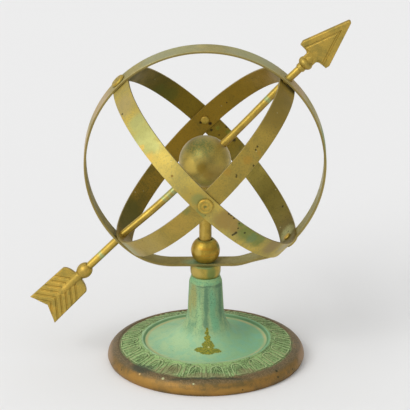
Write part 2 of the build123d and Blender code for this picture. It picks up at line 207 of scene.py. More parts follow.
tones = blend_of(film, tones, given.outputs["Film"])
tones = blend_of(eased(grain, 0.47, 0.33, 0.0, 0.4), tones, given.outputs["Clean"])
speckle = eased(grain, 0.53, 0.68, 0.0, 0.55)
join(blend_of(speckle, tones, given.outputs["Film"]), put.inputs["Colour"])
join(math_of("MAXIMUM", dull, film), put.inputs["Tarnish"])
join(grain, put.inputs["Grain"])

# Pits: dark spots, one in a share of the cells of a cell pattern, each with a soft edge
pitting, given, put = group_of(
    "pitting",
    (("Place", "Vector", None), ("Scale", "Float", 300.0), ("Share", "Float", 0.1), ("Size", "Float", 0.25)),
    (("Mask", "Float"),))
cells = pitting.nodes.new("ShaderNodeTexVoronoi")
join(given.outputs["Place"], cells.inputs["Vector"])
join(given.outputs["Scale"], cells.inputs["Scale"])
split = pitting.nodes.new("ShaderNodeSeparateColor")
join(cells.outputs["Color"], split.inputs[0])
chosen = math_of("LESS_THAN", split.outputs[0], given.outputs["Share"])
size = times(given.outputs["Size"], plus(split.outputs[1], 0.4))
spot = eased(cells.outputs["Distance"], size, times(size, 0.45))
join(times(spot, chosen), put.inputs["Mask"])

# A stain at one spot: full at its middle and gone at its reach, which may differ by direction
stain, given, put = group_of(
    "stain", (("Place", "Vector", None), ("Spot", "Vector", None), ("Reach", "Vector", None)),
    (("Mask", "Float"),))
offset = vector_of("DIVIDE", vector_of("SUBTRACT", given.outputs["Place"], given.outputs["Spot"]),
                   given.outputs["Reach"])
join(eased(vector_of("LENGTH", offset), 1.0, 0.4), put.inputs["Mask"])


def place_group(group, **values):
    """A node of the group with its named inputs fed or set."""
    node = new_node("Group", *values.values())
    node.node_tree = group
    for socket, value in values.items():
        join(value, node.inputs[socket])
    return node


def new_material(name):
    """A material with its Principled shader and the object's own coordinates."""
    material = bpy.data.materials.new(name)
    material.use_nodes = True
    nodes = material.node_tree.nodes
    return material, nodes["Principled BSDF"], nodes.new("ShaderNodeTexCoord").outputs["Object"]


def brass_in(place, scale, clean, dull, film, filmed):
    """The aged brass in three tones, with clouds of a scale and a share of dark film."""
    return place_group(aged_brass, Place=place, Scale=scale, Clean=(*clean, 1), Dull=(*dull, 1),
                       Film=(*film, 1), Filmed=filmed)


def torn_place(place, size, by):
    """The place pushed about by cloudy noise, both lengths in millimetres, so that edges wander."""
    push = vector_of("SUBTRACT", noise_of(place, 1000.0 / size, 4.0, 0.65)[1], (0.5, 0.5, 0.5))
    return vector_of("ADD", place, vector_of("MULTIPLY", push, (by / 300,) * 3))


def spots_mask(place, spots):
    """How far a place lies in any of some stains, each given as its middle and its reach in
    millimetres. The reach is one length, or one for each axis."""
    mask = 0.0
    for x, y, z, *reach in spots:
        reach = tuple(r / 1000 for r in (reach * 3 if len(reach) == 1 else reach))
        mark = place_group(stain, Place=place, Spot=(x / 1000, y / 1000, z / 1000), Reach=reach)
        mask = math_of("MAXIMUM", mask, mark.outputs[0])
    return mask


def stained(place, colour, stains):
    """Covers a colour with stains, one after the other: each has a tint, a strength and spots."""
    for tint, strength, spots in stains:
        colour = blend_of(times(spots_mask(place, spots), strength), colour, (*tint, 1))
    return colour


def mark_of(place, name):
    """A value that the piece keeps on its points, for the tree that has this place."""
    node = new_node("Attribute", place)
    node.attribute_name = name
    return node.outputs["Fac"]


def finish_metal(shader, colour, metallic, roughness, height, strength, specular=0.3, distance=0.0002):
    """Puts colour, share of metal, roughness and specular level on the shader, and feeds its
    Normal from a Bump node over a height."""
    join(colour, shader.inputs["Base Color"])
    join(metallic, shader.inputs["Metallic"])
    join(roughness, shader.inputs["Roughness"])
    shader.inputs["Specular IOR Level"].default_value = specular
    bump = new_node("Bump", height)
    bump.inputs["Strength"].default_value = strength
    bump.inputs["Distance"].default_value = distance
    join(height, bump.inputs["Height"])
    join(bump.outputs[0], shader.inputs["Normal"])


rim_turn = np.linspace(0, 1, 15)
chord = np.array([rim_inside - rim_outside, shoulder_high - rim_low])
span = np.linalg.norm(chord)
rim_round = 1.1 * (rim_outside - rim_inside)
sag_way = np.array([chord[1], -chord[0]]) / span
chord_from_centre = np.sqrt(rim_round ** 2 - span ** 2 / 4)
rim_centre = np.array([rim_outside, rim_low]) + chord / 2 - sag_way * chord_from_centre
from_angle = np.arctan2(rim_low - rim_centre[1], rim_outside - rim_centre[0])
to_angle = np.arctan2(shoulder_high - rim_centre[1], rim_inside - rim_centre[0])
swing = from_angle + (to_angle - from_angle) * rim_turn
rim_line = rim_centre + rim_round * np.column_stack([np.cos(swing), np.sin(swing)])
ridge_swing = np.linspace(0.08, 0.92, 9) * pi
ridge_line = np.column_stack([53.0 + 2.1 * np.cos(ridge_swing),
                              16.55 + 0.35 * np.cos(ridge_swing) + 1.45 * np.sin(ridge_swing)])
lean = np.arctan2(2.7, 53.8)
flare = 30.0
tangent = flare / np.tan((pi / 2 + lean) / 2)
flare_swing = np.linspace(-pi / 2, -pi + lean, 20)
flare_line = np.column_stack([16.4 + tangent + flare * np.cos(flare_swing),
                              dish_floor + flare + flare * np.sin(flare_swing)])
along_band = np.linspace(0, 1, 37)
band_line = np.column_stack([groove_outside + (band_inside - groove_outside) * along_band,
                             groove_floor + (band_top - groove_floor) * along_band])
pillar_side = np.array([flare_line[-1], [13.7, pillar_top - 5.0]])
foot_line = [[foot_ring_inside, 0], [foot_ring_inside + 0.2, 0], [foot_ring_outside - 0.4, 0],
             [foot_ring_outside, 0.35], [81.4, 2.6]]
shoulder_line = [[73.5, 12.95], [73.1, 12.75], [72.5, 12.3]]
top_line = [[13.62, pillar_top - 4.85], [13.5, pillar_top - 4.55], [12.8, pillar_top - 2.5],
            [12.1, pillar_top - 0.55], [11.9, pillar_top - 0.12], [11.75, pillar_top], [8.0, pillar_top],
            [bore_radius, pillar_top]]
inner_line = [[bore_radius, 50.0], [bore_radius, washer_seat], [20.0, washer_seat],
              [band_inside - 0.6, washer_seat], [band_inside + 0.4, washer_seat - 0.1],
              [groove_outside, 8.0], [75.2, 3.9], [75.5, 3.4]]
base_line = np.concatenate([
    foot_line, rim_line[:-1], shoulder_line, band_line, ridge_line,
    [[dish_edge - 0.4, dish_floor + 0.05], [48.0, dish_floor]], flare_line,
    pillar_side[0] + (pillar_side[1] - pillar_side[0]) * np.linspace(0.08, 0.985, 12)[:, None],
    top_line, inner_line])
base_columns = 36 * arches
turn = np.arange(base_columns) * 2 * pi / base_columns
out, height = base_line[:, :1] + 0 * turn, base_line[:, 1:] + 0 * turn
first_band = len(foot_line) + len(rim_line) - 1 + len(shoulder_line)
band_rows = slice(first_band, first_band + len(along_band))
down_slope = np.zeros_like(out)
down_slope[band_rows] = (band_length * (1 - along_band))[:, None]
on_band = np.zeros_like(out)
on_band[band_rows] = 1
pitch = 2 * pi / arches
sideways = ((turn + pitch / 2) % pitch - pitch / 2) * out
arch_middle = arch_start + arch_round
flared = arch_flare * (down_slope - arch_middle) / (arch_end - arch_middle)
reach_out = np.where(down_slope < arch_middle, np.hypot(down_slope - arch_middle, sideways) - arch_round,
                     np.abs(sideways) - arch_round - flared)
reach_out = np.maximum(reach_out, down_slope - arch_end)


def welt(distance, half):
    """A raised line with a round back: full at no distance, nothing at its half width."""
    return np.cos(np.clip(np.abs(distance) / half, 0, 1) * pi / 2) ** 0.8


relief = welt(reach_out + 0.75, 0.95)
for slant in (-22, 0, 22):
    slant = np.radians(slant)
    stroke = -(down_slope - 2.5) * np.sin(slant) + sideways * np.cos(slant)
    stroke = np.where((down_slope > 2.6) & (reach_out < -0.6), np.abs(stroke), 9)
    relief = np.maximum(relief, 0.8 * welt(stroke, 0.8))
between = ((turn + pitch) % pitch - pitch / 2) * out
dart_half = 0.25 + 1.2 * (down_slope - arch_start) / (arch_end - arch_start)
relief = np.maximum(relief, np.where((down_slope > arch_start) & (down_slope < arch_end),
                                     welt(between, np.maximum(dart_half, 0.3)), 0))
relief = relief * on_band * (0.82 + 0.14 * ripple(out * np.cos(turn), out * np.sin(turn), height, 9.0, 4))
band_lean = np.arctan2(band_top - groove_floor, groove_outside - band_inside)
out = out + relief * np.sin(band_lean)
height = height + relief * np.cos(band_lean)
x, y = out * np.cos(turn), out * np.sin(turn)
uneven = 0.09 * ripple(x, y, height, 14.0, 7) + 0.05 * ripple(x, y, height, 5.0, 8)
last_open = len(base_line) - len(top_line) - len(inner_line)
open_face = (base_line[:, 1:] > 2.0) & (np.arange(len(base_line))[:, None] < last_open)
height = height + uneven * open_face
base_points = np.stack([x, y, height], -1)

base_bronze, shader, place = new_material("weathered base bronze")
split = new_node("SeparateXYZ", place)
join(place, split.inputs[0])
to_right, _, upward = split.outputs
from_axis = vector_of("LENGTH", vector_of("MULTIPLY", place, (1.0, 1.0, 0.0)))
mottle = noise_of(place, 110.0, 5.0, 0.62)[0]
fine = noise_of(place, 900.0, 3.0, 0.65)[0]
torn = torn_place(place, 9.0, 1.6)
ragged = times(math_of("SUBTRACT", mottle, 0.5), 0.006)
edge_place = plus(from_axis, ragged)
raised = mark_of(place, "raised")

# The bronze of the rim: brown, golden where hands rubbed it, grey on its shoulder, pitted
bronze = brass_in(place, 65.0, (0.30, 0.165, 0.04), (0.205, 0.125, 0.035), (0.1, 0.085, 0.035), 0.6)
rim = stained(torn, bronze.outputs["Colour"], [
    ((0.4, 0.215, 0.045), 0.65,
     [(-58, -58, 4, 34, 30, 7), (25, -80, 3.5, 42, 14, 4), (-20, -80, 4, 30, 12, 4)]),
    ((0.36, 0.24, 0.14), 0.75, [(-80, 0, 7, 9, 34, 9), (80, -8, 8, 8, 30, 8)])])
shoulder = times(eased(plus(upward, times(ragged, 0.5)), 0.0088, 0.0118), 0.75)
rim = blend_of(shoulder, rim, blend_of(eased(fine, 0.4, 0.62), (0.09, 0.08, 0.045, 1),
                                       (0.24, 0.18, 0.1, 1)))
rim = stained(place, rim, [
    ((0.6, 0.4, 0.15), 0.9, [(-54.8, -56.9, 10.2, 1.3)]),
    ((0.5, 0.52, 0.28), 0.9,
     [(-35.5, -68.9, 11.4, 1.6), (-10.4, -78.1, 10.4, 1.1), (-40.5, -66.5, 12.2, 0.9)]),
    ((0.03, 0.035, 0.015), 0.9,
     [(58.2, -52.8, 10.6, 1.7), (59.4, -55.5, 6.3, 1.3), (55.4, -55.0, 9.8, 1.0), (71.5, -38.6, 6, 1.1),
      (79.5, -20.5, 5.3, 1.4), (30.0, -76.0, 4.0, 0.9), (-70.0, -41.0, 7.0, 0.9)])])

# The green of the dish: mint on the left, bluer and deeper on the right, mottled all over
turned_right = eased(to_right, -0.03, 0.05)
mint = blend_of(turned_right, (0.36, 0.52, 0.28, 1), (0.205, 0.4, 0.205, 1))
bluer = blend_of(turned_right, (0.285, 0.49, 0.29, 1), (0.19, 0.41, 0.25, 1))
green = blend_of(eased(mottle, 0.4, 0.62), mint, bluer)
green = blend_of(eased(fine, 0.55, 0.7, 0.0, 0.25), green, (0.14, 0.26, 0.13, 1))

# The band: raised lines pale and rubbed, their feet dark, the ground between them speckled
dark_ground = blend_of(eased(mottle, 0.42, 0.6), (0.085, 0.13, 0.045, 1), (0.15, 0.125, 0.06, 1))
ground = blend_of(eased(plus(times(fine, 0.7), times(mottle, 0.4)), 0.44, 0.6), dark_ground,
                  (0.29, 0.45, 0.175, 1))
foot = times(eased(raised, 0.0, 0.1), eased(raised, 0.7, 0.3))
lines = blend_of(times(foot, 0.65), ground, (0.055, 0.09, 0.03, 1))
crest = blend_of(eased(mottle, 0.46, 0.6), (0.4, 0.52, 0.24, 1), (0.36, 0.32, 0.17, 1))
band = blend_of(times(eased(raised, 0.45, 0.85), 0.85), lines, crest)
pits = place_group(pitting, Place=place, Scale=420.0, Share=0.22, Size=0.34)
band = blend_of(times(pits.outputs[0], 0.75), band, (0.04, 0.06, 0.02, 1))
band = stained(torn, band, [
    ((0.2, 0.15, 0.075), 0.55,
     [(-30, -58, 14, 16, 9, 5), (35, -60, 13, 14, 6, 5), (0, -68, 13, 28, 5, 4)])])
colour = blend_of(eased(edge_place, 0.0528, 0.0545), green, band)

# The ridge: its wall in shadow green, its crest pale, and a beige line where it meets the dish
wall = times(eased(from_axis, 0.0505, 0.0512), eased(from_axis, 0.0527, 0.052))
colour = blend_of(times(wall, 0.75), colour, (0.11, 0.215, 0.085, 1))
beige = times(eased(from_axis, 0.0468, 0.0496), eased(from_axis, 0.0509, 0.0502))
beige = times(beige, eased(mottle, 0.38, 0.58, 0.35, 0.85))
colour = blend_of(beige, colour, (0.5, 0.45, 0.2, 1))

# The pillar: streaks that ran down from the collar, on its flare fading into the dish
streaks = noise_of(vector_of("MULTIPLY", place, (1.0, 1.0, 0.2)), 230.0, 4.0, 0.6)[0]
on_pillar = eased(from_axis, 0.024, 0.0165)
run_down = blend_of(eased(streaks, 0.4, 0.62), (0.3, 0.42, 0.2, 1), (0.19, 0.34, 0.18, 1))
run_down = stained(torn, run_down, [
    ((0.33, 0.31, 0.1), 0.8, [(-10, -9.5, 60, 4.5, 8, 16), (-12, -5, 48, 3, 5, 22)]),
    ((0.33, 0.52, 0.25), 0.7, [(-5.5, -14, 40, 3.2, 6, 22)]),
    ((0.1, 0.2, 0.115), 0.75,
     [(0.4, -14, 56, 2.6, 5, 24), (0.3, -15.5, 36, 3.2, 5, 14), (12.0, -7.5, 54, 2.2, 6, 24)]),
    ((0.16, 0.4, 0.225), 0.75, [(5.8, -13, 50, 3.6, 6, 28), (8.0, -14, 36, 5.5, 6, 12)]),
    ((0.09, 0.17, 0.09), 0.7, [(0, -13, 69.6, 14, 5, 0.9), (10, -8, 69, 6, 6, 2.5)])])
run_down = blend_of(eased(upward, 0.0698, 0.0712), run_down,
                    blend_of(eased(mottle, 0.4, 0.6), (0.3, 0.47, 0.2, 1), (0.21, 0.42, 0.21, 1)))
run_down = blend_of(eased(fine, 0.5, 0.66, 0.0, 0.6), run_down, (0.08, 0.17, 0.1, 1))
colour = blend_of(on_pillar, colour, run_down)

# Where water ran off the pillar it left a golden olive patch in the dish
drip = spots_mask(torn_place(place, 3.2, 1.3), [
    (1.5, -31.5, 19.5, 9.5, 5, 5), (-4.5, -30.0, 20, 7, 3.4, 4), (7.5, -30.5, 19, 7.5, 3.2, 4),
    (2.0, -26.5, 23, 6.8, 6, 6), (1.4, -22.5, 27, 3.6, 4, 5), (0.9, -18.8, 32, 1.8, 3, 5)])
drip = eased(drip, 0.25, 0.5)
drip_colour = blend_of(eased(fine, 0.4, 0.6), (0.1, 0.125, 0.004, 1), (0.29, 0.25, 0.008, 1))
colour = blend_of(times(drip, 0.92), colour, drip_colour)
colour = stained(place, colour, [
    ((0.5, 0.5, 0.2), 0.9, [(2.3, -28.2, 21.8, 1.3)]),
    ((0.08, 0.14, 0.07), 0.8, [(-27.5, -25.5, 17.6, 0.8), (-20, -34.5, 17.5, 0.7), (24, -22, 17.8, 0.7)])])

# Green gives way to bronze past the groove, which is darkest in front
edge_of_green = eased(plus(from_axis, times(ragged, 0.8)), 0.0702, 0.0729)
groove = spots_mask(torn, [(0, -72.3, 12.3, 46, 2.6, 2.2), (-52, -50, 12.3, 16, 12, 2.4)])
colour = blend_of(edge_of_green, colour, rim)
colour = blend_of(times(groove, 0.75), colour, (0.045, 0.06, 0.04, 1))
dullness = plus(times(fine, 0.3), eased(edge_of_green, 0.0, 1.0, 0.55, 0.36))
crust = plus(times(fine, 0.7), math_of("SUBTRACT", mottle, pits.outputs[0]))
finish_metal(shader, colour, eased(edge_of_green, 0.0, 1.0, 0.0, 0.5), dullness, crust, 0.35, 0.25, 0.0005)
make_piece("base_with_relief", base_points, [grid_faces(len(base_line), base_columns, close_rows=True)],
           base_bronze, "base", ["base_casting"], "base_bronze", raised=relief.reshape(-1))


# Collar: a turned brass barrel that spaces the meridian ring from the pillar. It is bored for
# the stem and held down by the ball above it.
stem_hole = 5.2


def rounded(corners, cut, steps):
    """A line of corners with each corner rounded: between the points a cut's length before and
    after the corner runs a parabola that is drawn towards the corner."""
    corners = np.asarray(corners, float)
    before = np.roll(corners, 1, 0) - corners
    after = np.roll(corners, -1, 0) - corners
    start = corners + before / np.linalg.norm(before, axis=1)[:, None] * cut
    end = corners + after / np.linalg.norm(after, axis=1)[:, None] * cut
    t = np.linspace(0, 1, steps)[None, :, None]
    curve = start[:, None] * (1 - t) ** 2 + corners[:, None] * 2 * t * (1 - t) + end[:, None] * t ** 2
    return curve.reshape(-1, 2)


collar_foot, collar_top = (c[2] * 1000 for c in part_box("collar"))
line = rounded([(stem_hole, collar_foot), (11.2, collar_foot), (12.35, collar_foot + 2.2),
                (12.7, collar_foot + 6.6), (12.45, collar_foot + 9.4), (12.0, collar_top),
                (stem_hole, collar_top)],
               np.array([0.2, 0.35, 1.0, 1.5, 0.8, 0.3, 0.2])[:, None], 7)


def turned_points(line, columns):
    """A lathe shape: the closed line of radius and height is carried round the upright axis."""
    turn = np.arange(columns) * 2 * pi / columns
    return np.stack([line[:, :1] * np.cos(turn), line[:, :1] * np.sin(turn), line[:, 1:] + 0 * turn], -1)


def lathe_lines(place, way, fineness):
    """Fine lines left by the lathe: noise that changes fast along the axis and slowly round it."""
    along = vector_of("DOT_PRODUCT", place, way)
    spread = new_node("VectorMath", place)
    spread.operation = "SCALE"
    join(way, spread.inputs[0])
    join(times(along, fineness), spread.inputs["Scale"])
    slow = vector_of("MULTIPLY", place, (40.0, 40.0, 40.0))
    return noise_of(vector_of("ADD", slow, spread.outputs[0]), 1.0, 2.0)[0]


turned_brass, shader, place = new_material("turned collar brass")
brass = brass_in(place, 90.0, (0.5, 0.37, 0.07), (0.38, 0.29, 0.06), (0.2, 0.2, 0.05), 0.4)
collar_middle = (collar_foot + collar_top) / 2
colour = stained(torn_place(place, 6.0, 1.5), brass.outputs["Colour"], [
    ((0.56, 0.42, 0.11), 0.85, [(-7.5, -9, collar_middle, 7.5)]),
    ((0.2, 0.26, 0.07), 0.85, [(4.5, -11, collar_middle, 5, 6, 9), (2, -12, collar_foot, 14, 6, 1.6),
        (0, 11, collar_middle, 9)]),
    ((0.17, 0.3, 0.13), 0.7, [(0, -12, collar_top, 14, 14, 1.8), (11.5, -4, collar_foot + 2, 4)])])
finish_metal(shader, colour, 0.7, eased(brass.outputs["Tarnish"], 0.0, 1.0, 0.4, 0.6),
             lathe_lines(place, (0.0, 0.0, 1.0), 2500.0), 0.3)
collar_points = turned_points(line, 192)
make_piece("turned_collar", collar_points, [grid_faces(len(line), 192, close_rows=True)], turned_brass,
           "sphere", ["collar"], "turned_brass")


# Meridian ring: brass strip bent round and pulled flat at the foot, where the stem clamps it
# between collar and ball. It is pierced twice for the arrow and drilled for two rivets.
strip_width, strip_thickness = 17.0, 2.0
ring_outside, shoulder_bend = 100.0, 58.0
pushed_from, pushed_to, pushed_up = 22.0, 61.0, 2.4
middle = np.array([0, 0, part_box("meridian_ring")[1][2] * 1000 - ring_outside])
polar = np.array([1, 0, 1]) / np.sqrt(2)
across = np.array([-1, 0, 1]) / np.sqrt(2)
front = np.array([0.0, -1, 0])
flat_angle = np.radians(45.5) + np.arcsin(8.5 / ring_outside)
flat_half = (ring_outside - shoulder_bend) * np.cos(flat_angle)
shoulder_down = (ring_outside - shoulder_bend) * np.sin(flat_angle)
bend_length = shoulder_bend * (pi / 2 - flat_angle)
meridian_length = 2 * (flat_half + bend_length + ring_outside * (pi / 2 + flat_angle))


def meridian_path(u):
    """The ring's outer line from the middle of its foot: straight, then the shoulder's arc, then
    the large arc, the same on both sides, but a hand's push has lifted the right shoulder by the
    square of a sine's half wave. Gives the place and the outward direction."""
    side = np.where(u > meridian_length / 2, -1, 1)
    u = np.minimum(u, meridian_length - u)
    bend = -pi / 2 + (u - flat_half) / shoulder_bend
    arc = -flat_angle + (u - flat_half - bend_length) / ring_outside
    flat, bent = u <= flat_half, u <= flat_half + bend_length
    x = np.where(flat, u, np.where(bent, flat_half + shoulder_bend * np.cos(bend),
                                   ring_outside * np.cos(arc)))
    z = np.where(flat, -shoulder_down - shoulder_bend,
                 np.where(bent, -shoulder_down + shoulder_bend * np.sin(bend), ring_outside * np.sin(arc)))
    nx = np.where(flat, 0, np.where(bent, np.cos(bend), np.cos(arc)))
    nz = np.where(flat, -1, np.where(bent, np.sin(bend), np.sin(arc)))
    push = np.where((side > 0) & (z < 0), np.clip((x - pushed_from) / (pushed_to - pushed_from), 0, 1), 0)
    return side * x, z + pushed_up * np.sin(push * pi) ** 2, side * nx, nz


def pierced_strip(path, length, holes, right, up, over, rows=21):
    """A closed strip with an outer and an inner face, each a grid of stations along the path by
    places across the width. Round a hole the grid opens: the square of grid lines a few out from
    its middle becomes the circle, the next ones pass back step by step into the plain grid, and
    the cells inside are left out. Gives points, faces, and 1 on the outer face, 0 on the inner."""
    columns = int(round(length / 0.85))
    i, j = np.meshgrid(np.arange(columns), np.arange(rows), indexing="ij")
    step, rise = length / columns, strip_width / (rows - 1)
    u, v = i * step, -strip_width / 2 + j * rise
    kept = np.ones((columns, rows - 1), bool)
    walls = []
    for hole_u, hole_v, radius, start, reach in holes:
        i0, j0 = int(round(hole_u / step)), int(round((hole_v + strip_width / 2) / rise))
        di = (i - i0 + columns // 2) % columns - columns // 2
        dj = j - j0
        ring = np.maximum(np.abs(di), np.abs(dj))
        near = (ring >= start) & (ring < reach)
        share = (ring - start) / (reach - start)
        long = np.maximum(np.hypot(di, dj), 1e-9)
        scale = reach / np.maximum(ring, 1)
        new_u = (hole_u + radius * di / long) * (1 - share) + (i0 + di * scale) * step * share
        grid_v = -strip_width / 2 + (j0 + dj * scale) * rise
        new_v = (hole_v + radius * dj / long) * (1 - share) + grid_v * share
        u, v = np.where(near, new_u, u), np.where(near, new_v, v)
        cell = np.maximum(np.abs(di[:, :-1] + 0.5), np.abs(dj[:, :-1] + 0.5))
        kept &= cell > start
        s = np.arange(-start, start)
        edge_i = np.concatenate([s, 0 * s + start, -s, 0 * s - start]) + i0
        edge_j = np.concatenate([0 * s + start, -s, 0 * s - start, s]) + j0
        walls.append((edge_i % columns) * rows + edge_j)
    x, z, nx, nz = path(u % length)
    outer = x[..., None] * right + z[..., None] * up + v[..., None] * over
    inner = outer - strip_thickness * (nx[..., None] * right + nz[..., None] * up)
    count = columns * rows
    first = (np.arange(columns)[:, None] * rows + np.arange(rows - 1)[None, :])[kept]
    after = ((np.arange(columns)[:, None] + 1) % columns * rows + np.arange(rows - 1)[None, :])[kept]
    face = np.stack([first, after, after + 1, first + 1], -1)
    faces = [face, face[:, ::-1] + count]
    station = np.arange(columns) * rows
    for edge in (station, station + rows - 1, *walls):
        following = np.roll(edge, -1)
        faces.append(np.stack([edge, following, following + count, edge + count], -1))
    outside = np.concatenate([np.ones(count), np.zeros(count)])
    return outer.reshape(-1, 3), inner.reshape(-1, 3), faces, outside


def ring_material(name, over, tones, painted_shade_inside_tones, stains, inside_stains):
    """Aged brass strip: one set of tones and stains outside and another inside, the inside tones darker
    as painted shade on the inner face; fine pits and flecks on both, edges darkened with painted
    shade, a worn line, and polishing lines that follow the strip."""
    material, shader, place = new_material(name)
    outside = mark_of(place, "outside")
    torn = torn_place(place, 7.0, 2.4)
    faces = []
    for scale, (clean, dull, film), marks in ((34.0, tones, stains), (38.0, painted_shade_inside_tones, inside_stains)):
        brass = brass_in(place, scale, clean, dull, film, 0.55)
        large = [row for row in marks if row[1] < 0.9]
        small = [row for row in marks if row[1] >= 0.9]
        shade = stained(torn, brass.outputs["Colour"], large)
        shade = blend_of(eased(brass.outputs["Grain"], 0.5, 0.7, 0.0, 0.4), shade, (*film, 1))
        faces.append(stained(torn_place(place, 1.2, 0.5), shade, small))
    # The inner face takes the darker inside tones: painted shade on the strip's inner face.
    colour = blend_of(eased(outside, 0.3, 0.7), faces[1], faces[0])
    pits = place_group(pitting, Place=place, Scale=330.0, Share=0.05, Size=0.22)
    colour = blend_of(times(pits.outputs[0], 0.55), colour, (0.08, 0.06, 0.02, 1))
    flecks = place_group(pitting, Place=vector_of("ADD", place, (0.4, 0.7, 0.2)), Scale=290.0, Share=0.035,
                         Size=0.2)
    colour = blend_of(times(flecks.outputs[0], 0.45), colour, (0.62, 0.56, 0.3, 1))
    # The edge walls are darkened: painted shade along the strip's edges.
    wall = times(eased(outside, 0.02, 0.15), eased(outside, 0.98, 0.85))
    colour = blend_of(times(wall, 0.7), colour, (0.27, 0.2, 0.06, 1))
    worn = times(eased(outside, 0.86, 0.93), eased(outside, 1.0, 0.96))
    colour = blend_of(times(worn, 0.6), colour, (0.66, 0.52, 0.2, 1))
    lines = lathe_lines(place, tuple(float(c) for c in over), 1800.0)
    height = plus(times(lines, 0.5), math_of("SUBTRACT", brass.outputs["Grain"], pits.outputs[0]))
    finish_metal(shader, colour, 0.65, eased(brass.outputs["Tarnish"], 0.0, 1.0, 0.4, 0.62), height, 0.3)
    return material


def finish_ring(name, points, faces, outside, material, replaced):
    """The strip's piece, with its mark of outer and inner face, and every sharp edge broken."""
    piece = make_piece(name, points, faces, material, "sphere", [replaced], "ring_brass", outside=outside)
    softened = piece.modifiers.new("broken edges", "BEVEL")
    softened.width = 0.0003
    softened.segments = 2
    softened.limit_method = "ANGLE"
    softened.angle_limit = np.radians(50)
    softened.harden_normals = True


arrow_up, rivet_hole, foot_hole = 2.5, 2.55, 5.23
arrow_middle = middle + across * arrow_up
rod_hole = 3.475
start_of_arc = flat_half + bend_length
slip = np.arcsin(arrow_up / ring_outside)
to_head = start_of_arc + ring_outside * (flat_angle + pi / 4 + slip)
to_upper_rivet = start_of_arc + ring_outside * (flat_angle + 3 * pi / 4)
to_tail = start_of_arc + ring_outside * (flat_angle + 5 * pi / 4 - slip)
to_lower_rivet = start_of_arc + ring_outside * (flat_angle - pi / 4)
meridian_holes = [
    (0.0, 0.0, foot_hole, 4, 9), (to_head, 0.0, rod_hole, 3, 7), (to_tail, 0.0, rod_hole, 3, 7),
    (to_upper_rivet, 0.0, rivet_hole, 2, 6), (to_lower_rivet, 0.0, rivet_hole, 2, 6)]
to_the_right, upward = np.array([1.0, 0, 0]), np.array([0, 0, 1.0])
outer, inner, faces, outside = pierced_strip(
    meridian_path, meridian_length, meridian_holes, to_the_right, upward, front)
# The second, darker set of tones is painted shade on the meridian strip's inner face.
meridian_brass = ring_material(
    "meridian strip brass", front, ((0.48, 0.4, 0.15), (0.38, 0.32, 0.12), (0.27, 0.25, 0.11)),
    ((0.36, 0.29, 0.075), (0.28, 0.225, 0.055), (0.2, 0.17, 0.05)),
    [((0.38, 0.38, 0.2), 0.75, [(-35, 0, 270, 45, 30, 14), (40, 0, 266, 40, 30, 18)]),
     ((0.54, 0.38, 0.2), 0.7, [(-85, 0, 226, 22), (-99, 0, 190, 24), (76, 0, 240, 14)]),
     ((0.34, 0.25, 0.09), 0.65, [(-94, 0, 148, 26), (96, 0, 152, 22)]),
     ((0.2, 0.3, 0.13), 0.85, [(99, 0, 192, 12, 20, 24), (72, 0, 104, 16), (0, 0, 88, 22, 20, 5)])],
    [((0.38, 0.34, 0.13), 0.7, [(35, 0, 90, 24, 12, 8), (90, 0, 140, 26), (80, 0, 122, 18)]),
     ((0.28, 0.225, 0.06), 0.7, [(-38, 0, 91, 24, 12, 8)]),
     ((0.24, 0.38, 0.19), 0.85, [(-4, -3, 88, 19, 9, 4)])])
finish_ring("meridian_strip", np.concatenate([outer, inner]) + middle, faces, outside, meridian_brass,
            "meridian_ring")


# Ball: a turned brass ball tapped on the stem. Screwed down, it presses the meridian ring on
# the collar; its mouth is countersunk round the stem.
ball_low, ball_high = (c[2] * 1000 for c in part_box("ball_nut"))
ball_radius, ball_foot, ball_mouth = 12.0, 7.6, 6.3
ball_middle = ball_low + np.sqrt(ball_radius ** 2 - ball_foot ** 2)
from_foot, to_mouth = -np.arccos(ball_foot / ball_radius), np.arccos(ball_mouth / ball_radius)
swing = np.linspace(from_foot + 0.02, to_mouth - 0.02, 60)
ball_line = np.concatenate([
    [[stem_hole, ball_low], [7.45, ball_low]],
    np.column_stack([ball_radius * np.cos(swing), ball_middle + ball_radius * np.sin(swing)]),
    [[6.2, ball_high - 0.02], [6.05, ball_high - 0.1], [stem_hole, ball_high - 1.6]]])
ball_brass, shader, place = new_material("turned ball brass")
brass = brass_in(place, 70.0, (0.5, 0.34, 0.045), (0.38, 0.25, 0.03), (0.18, 0.15, 0.03), 0.4)
turned = lathe_lines(place, (0.0, 0.0, 1.0), 900.0)
colour = blend_of(eased(turned, 0.45, 0.6, 0.0, 0.5), brass.outputs["Colour"], (0.46, 0.22, 0.02, 1))
# The gold spot on the ball's left front is a painted highlight.
colour = stained(torn_place(place, 5.0, 1.5), colour, [
    ((0.66, 0.48, 0.11), 0.6, [(-7, -9.5, ball_middle + 2, 5)]),
    ((0.16, 0.2, 0.06), 0.8, [(0, 0, ball_high + 0.5, 12, 12, 3.5), (11, -3, ball_middle + 5, 4),
        (0, 0, ball_low - 1, 13, 13, 3.5)])])
finish_metal(shader, colour, 0.75, 0.42, plus(lathe_lines(place, (0.0, 0.0, 1.0), 2000.0), turned), 0.4)
make_piece("turned_ball", turned_points(ball_line, 192), [grid_faces(len(ball_line), 192, close_rows=True)],
           ball_brass, "sphere", ["ball_nut"], "turned_brass")


# Stem, washer and nut: brass pipe pressed into the globe and threaded at its foot, where a
# washer and a plain hexagon nut hold it from inside the base.
pipe_brass, shader, place = new_material("stem pipe brass")
brass = brass_in(place, 80.0, (0.52, 0.35, 0.06), (0.4, 0.26, 0.04), (0.2, 0.16, 0.04), 0.35)
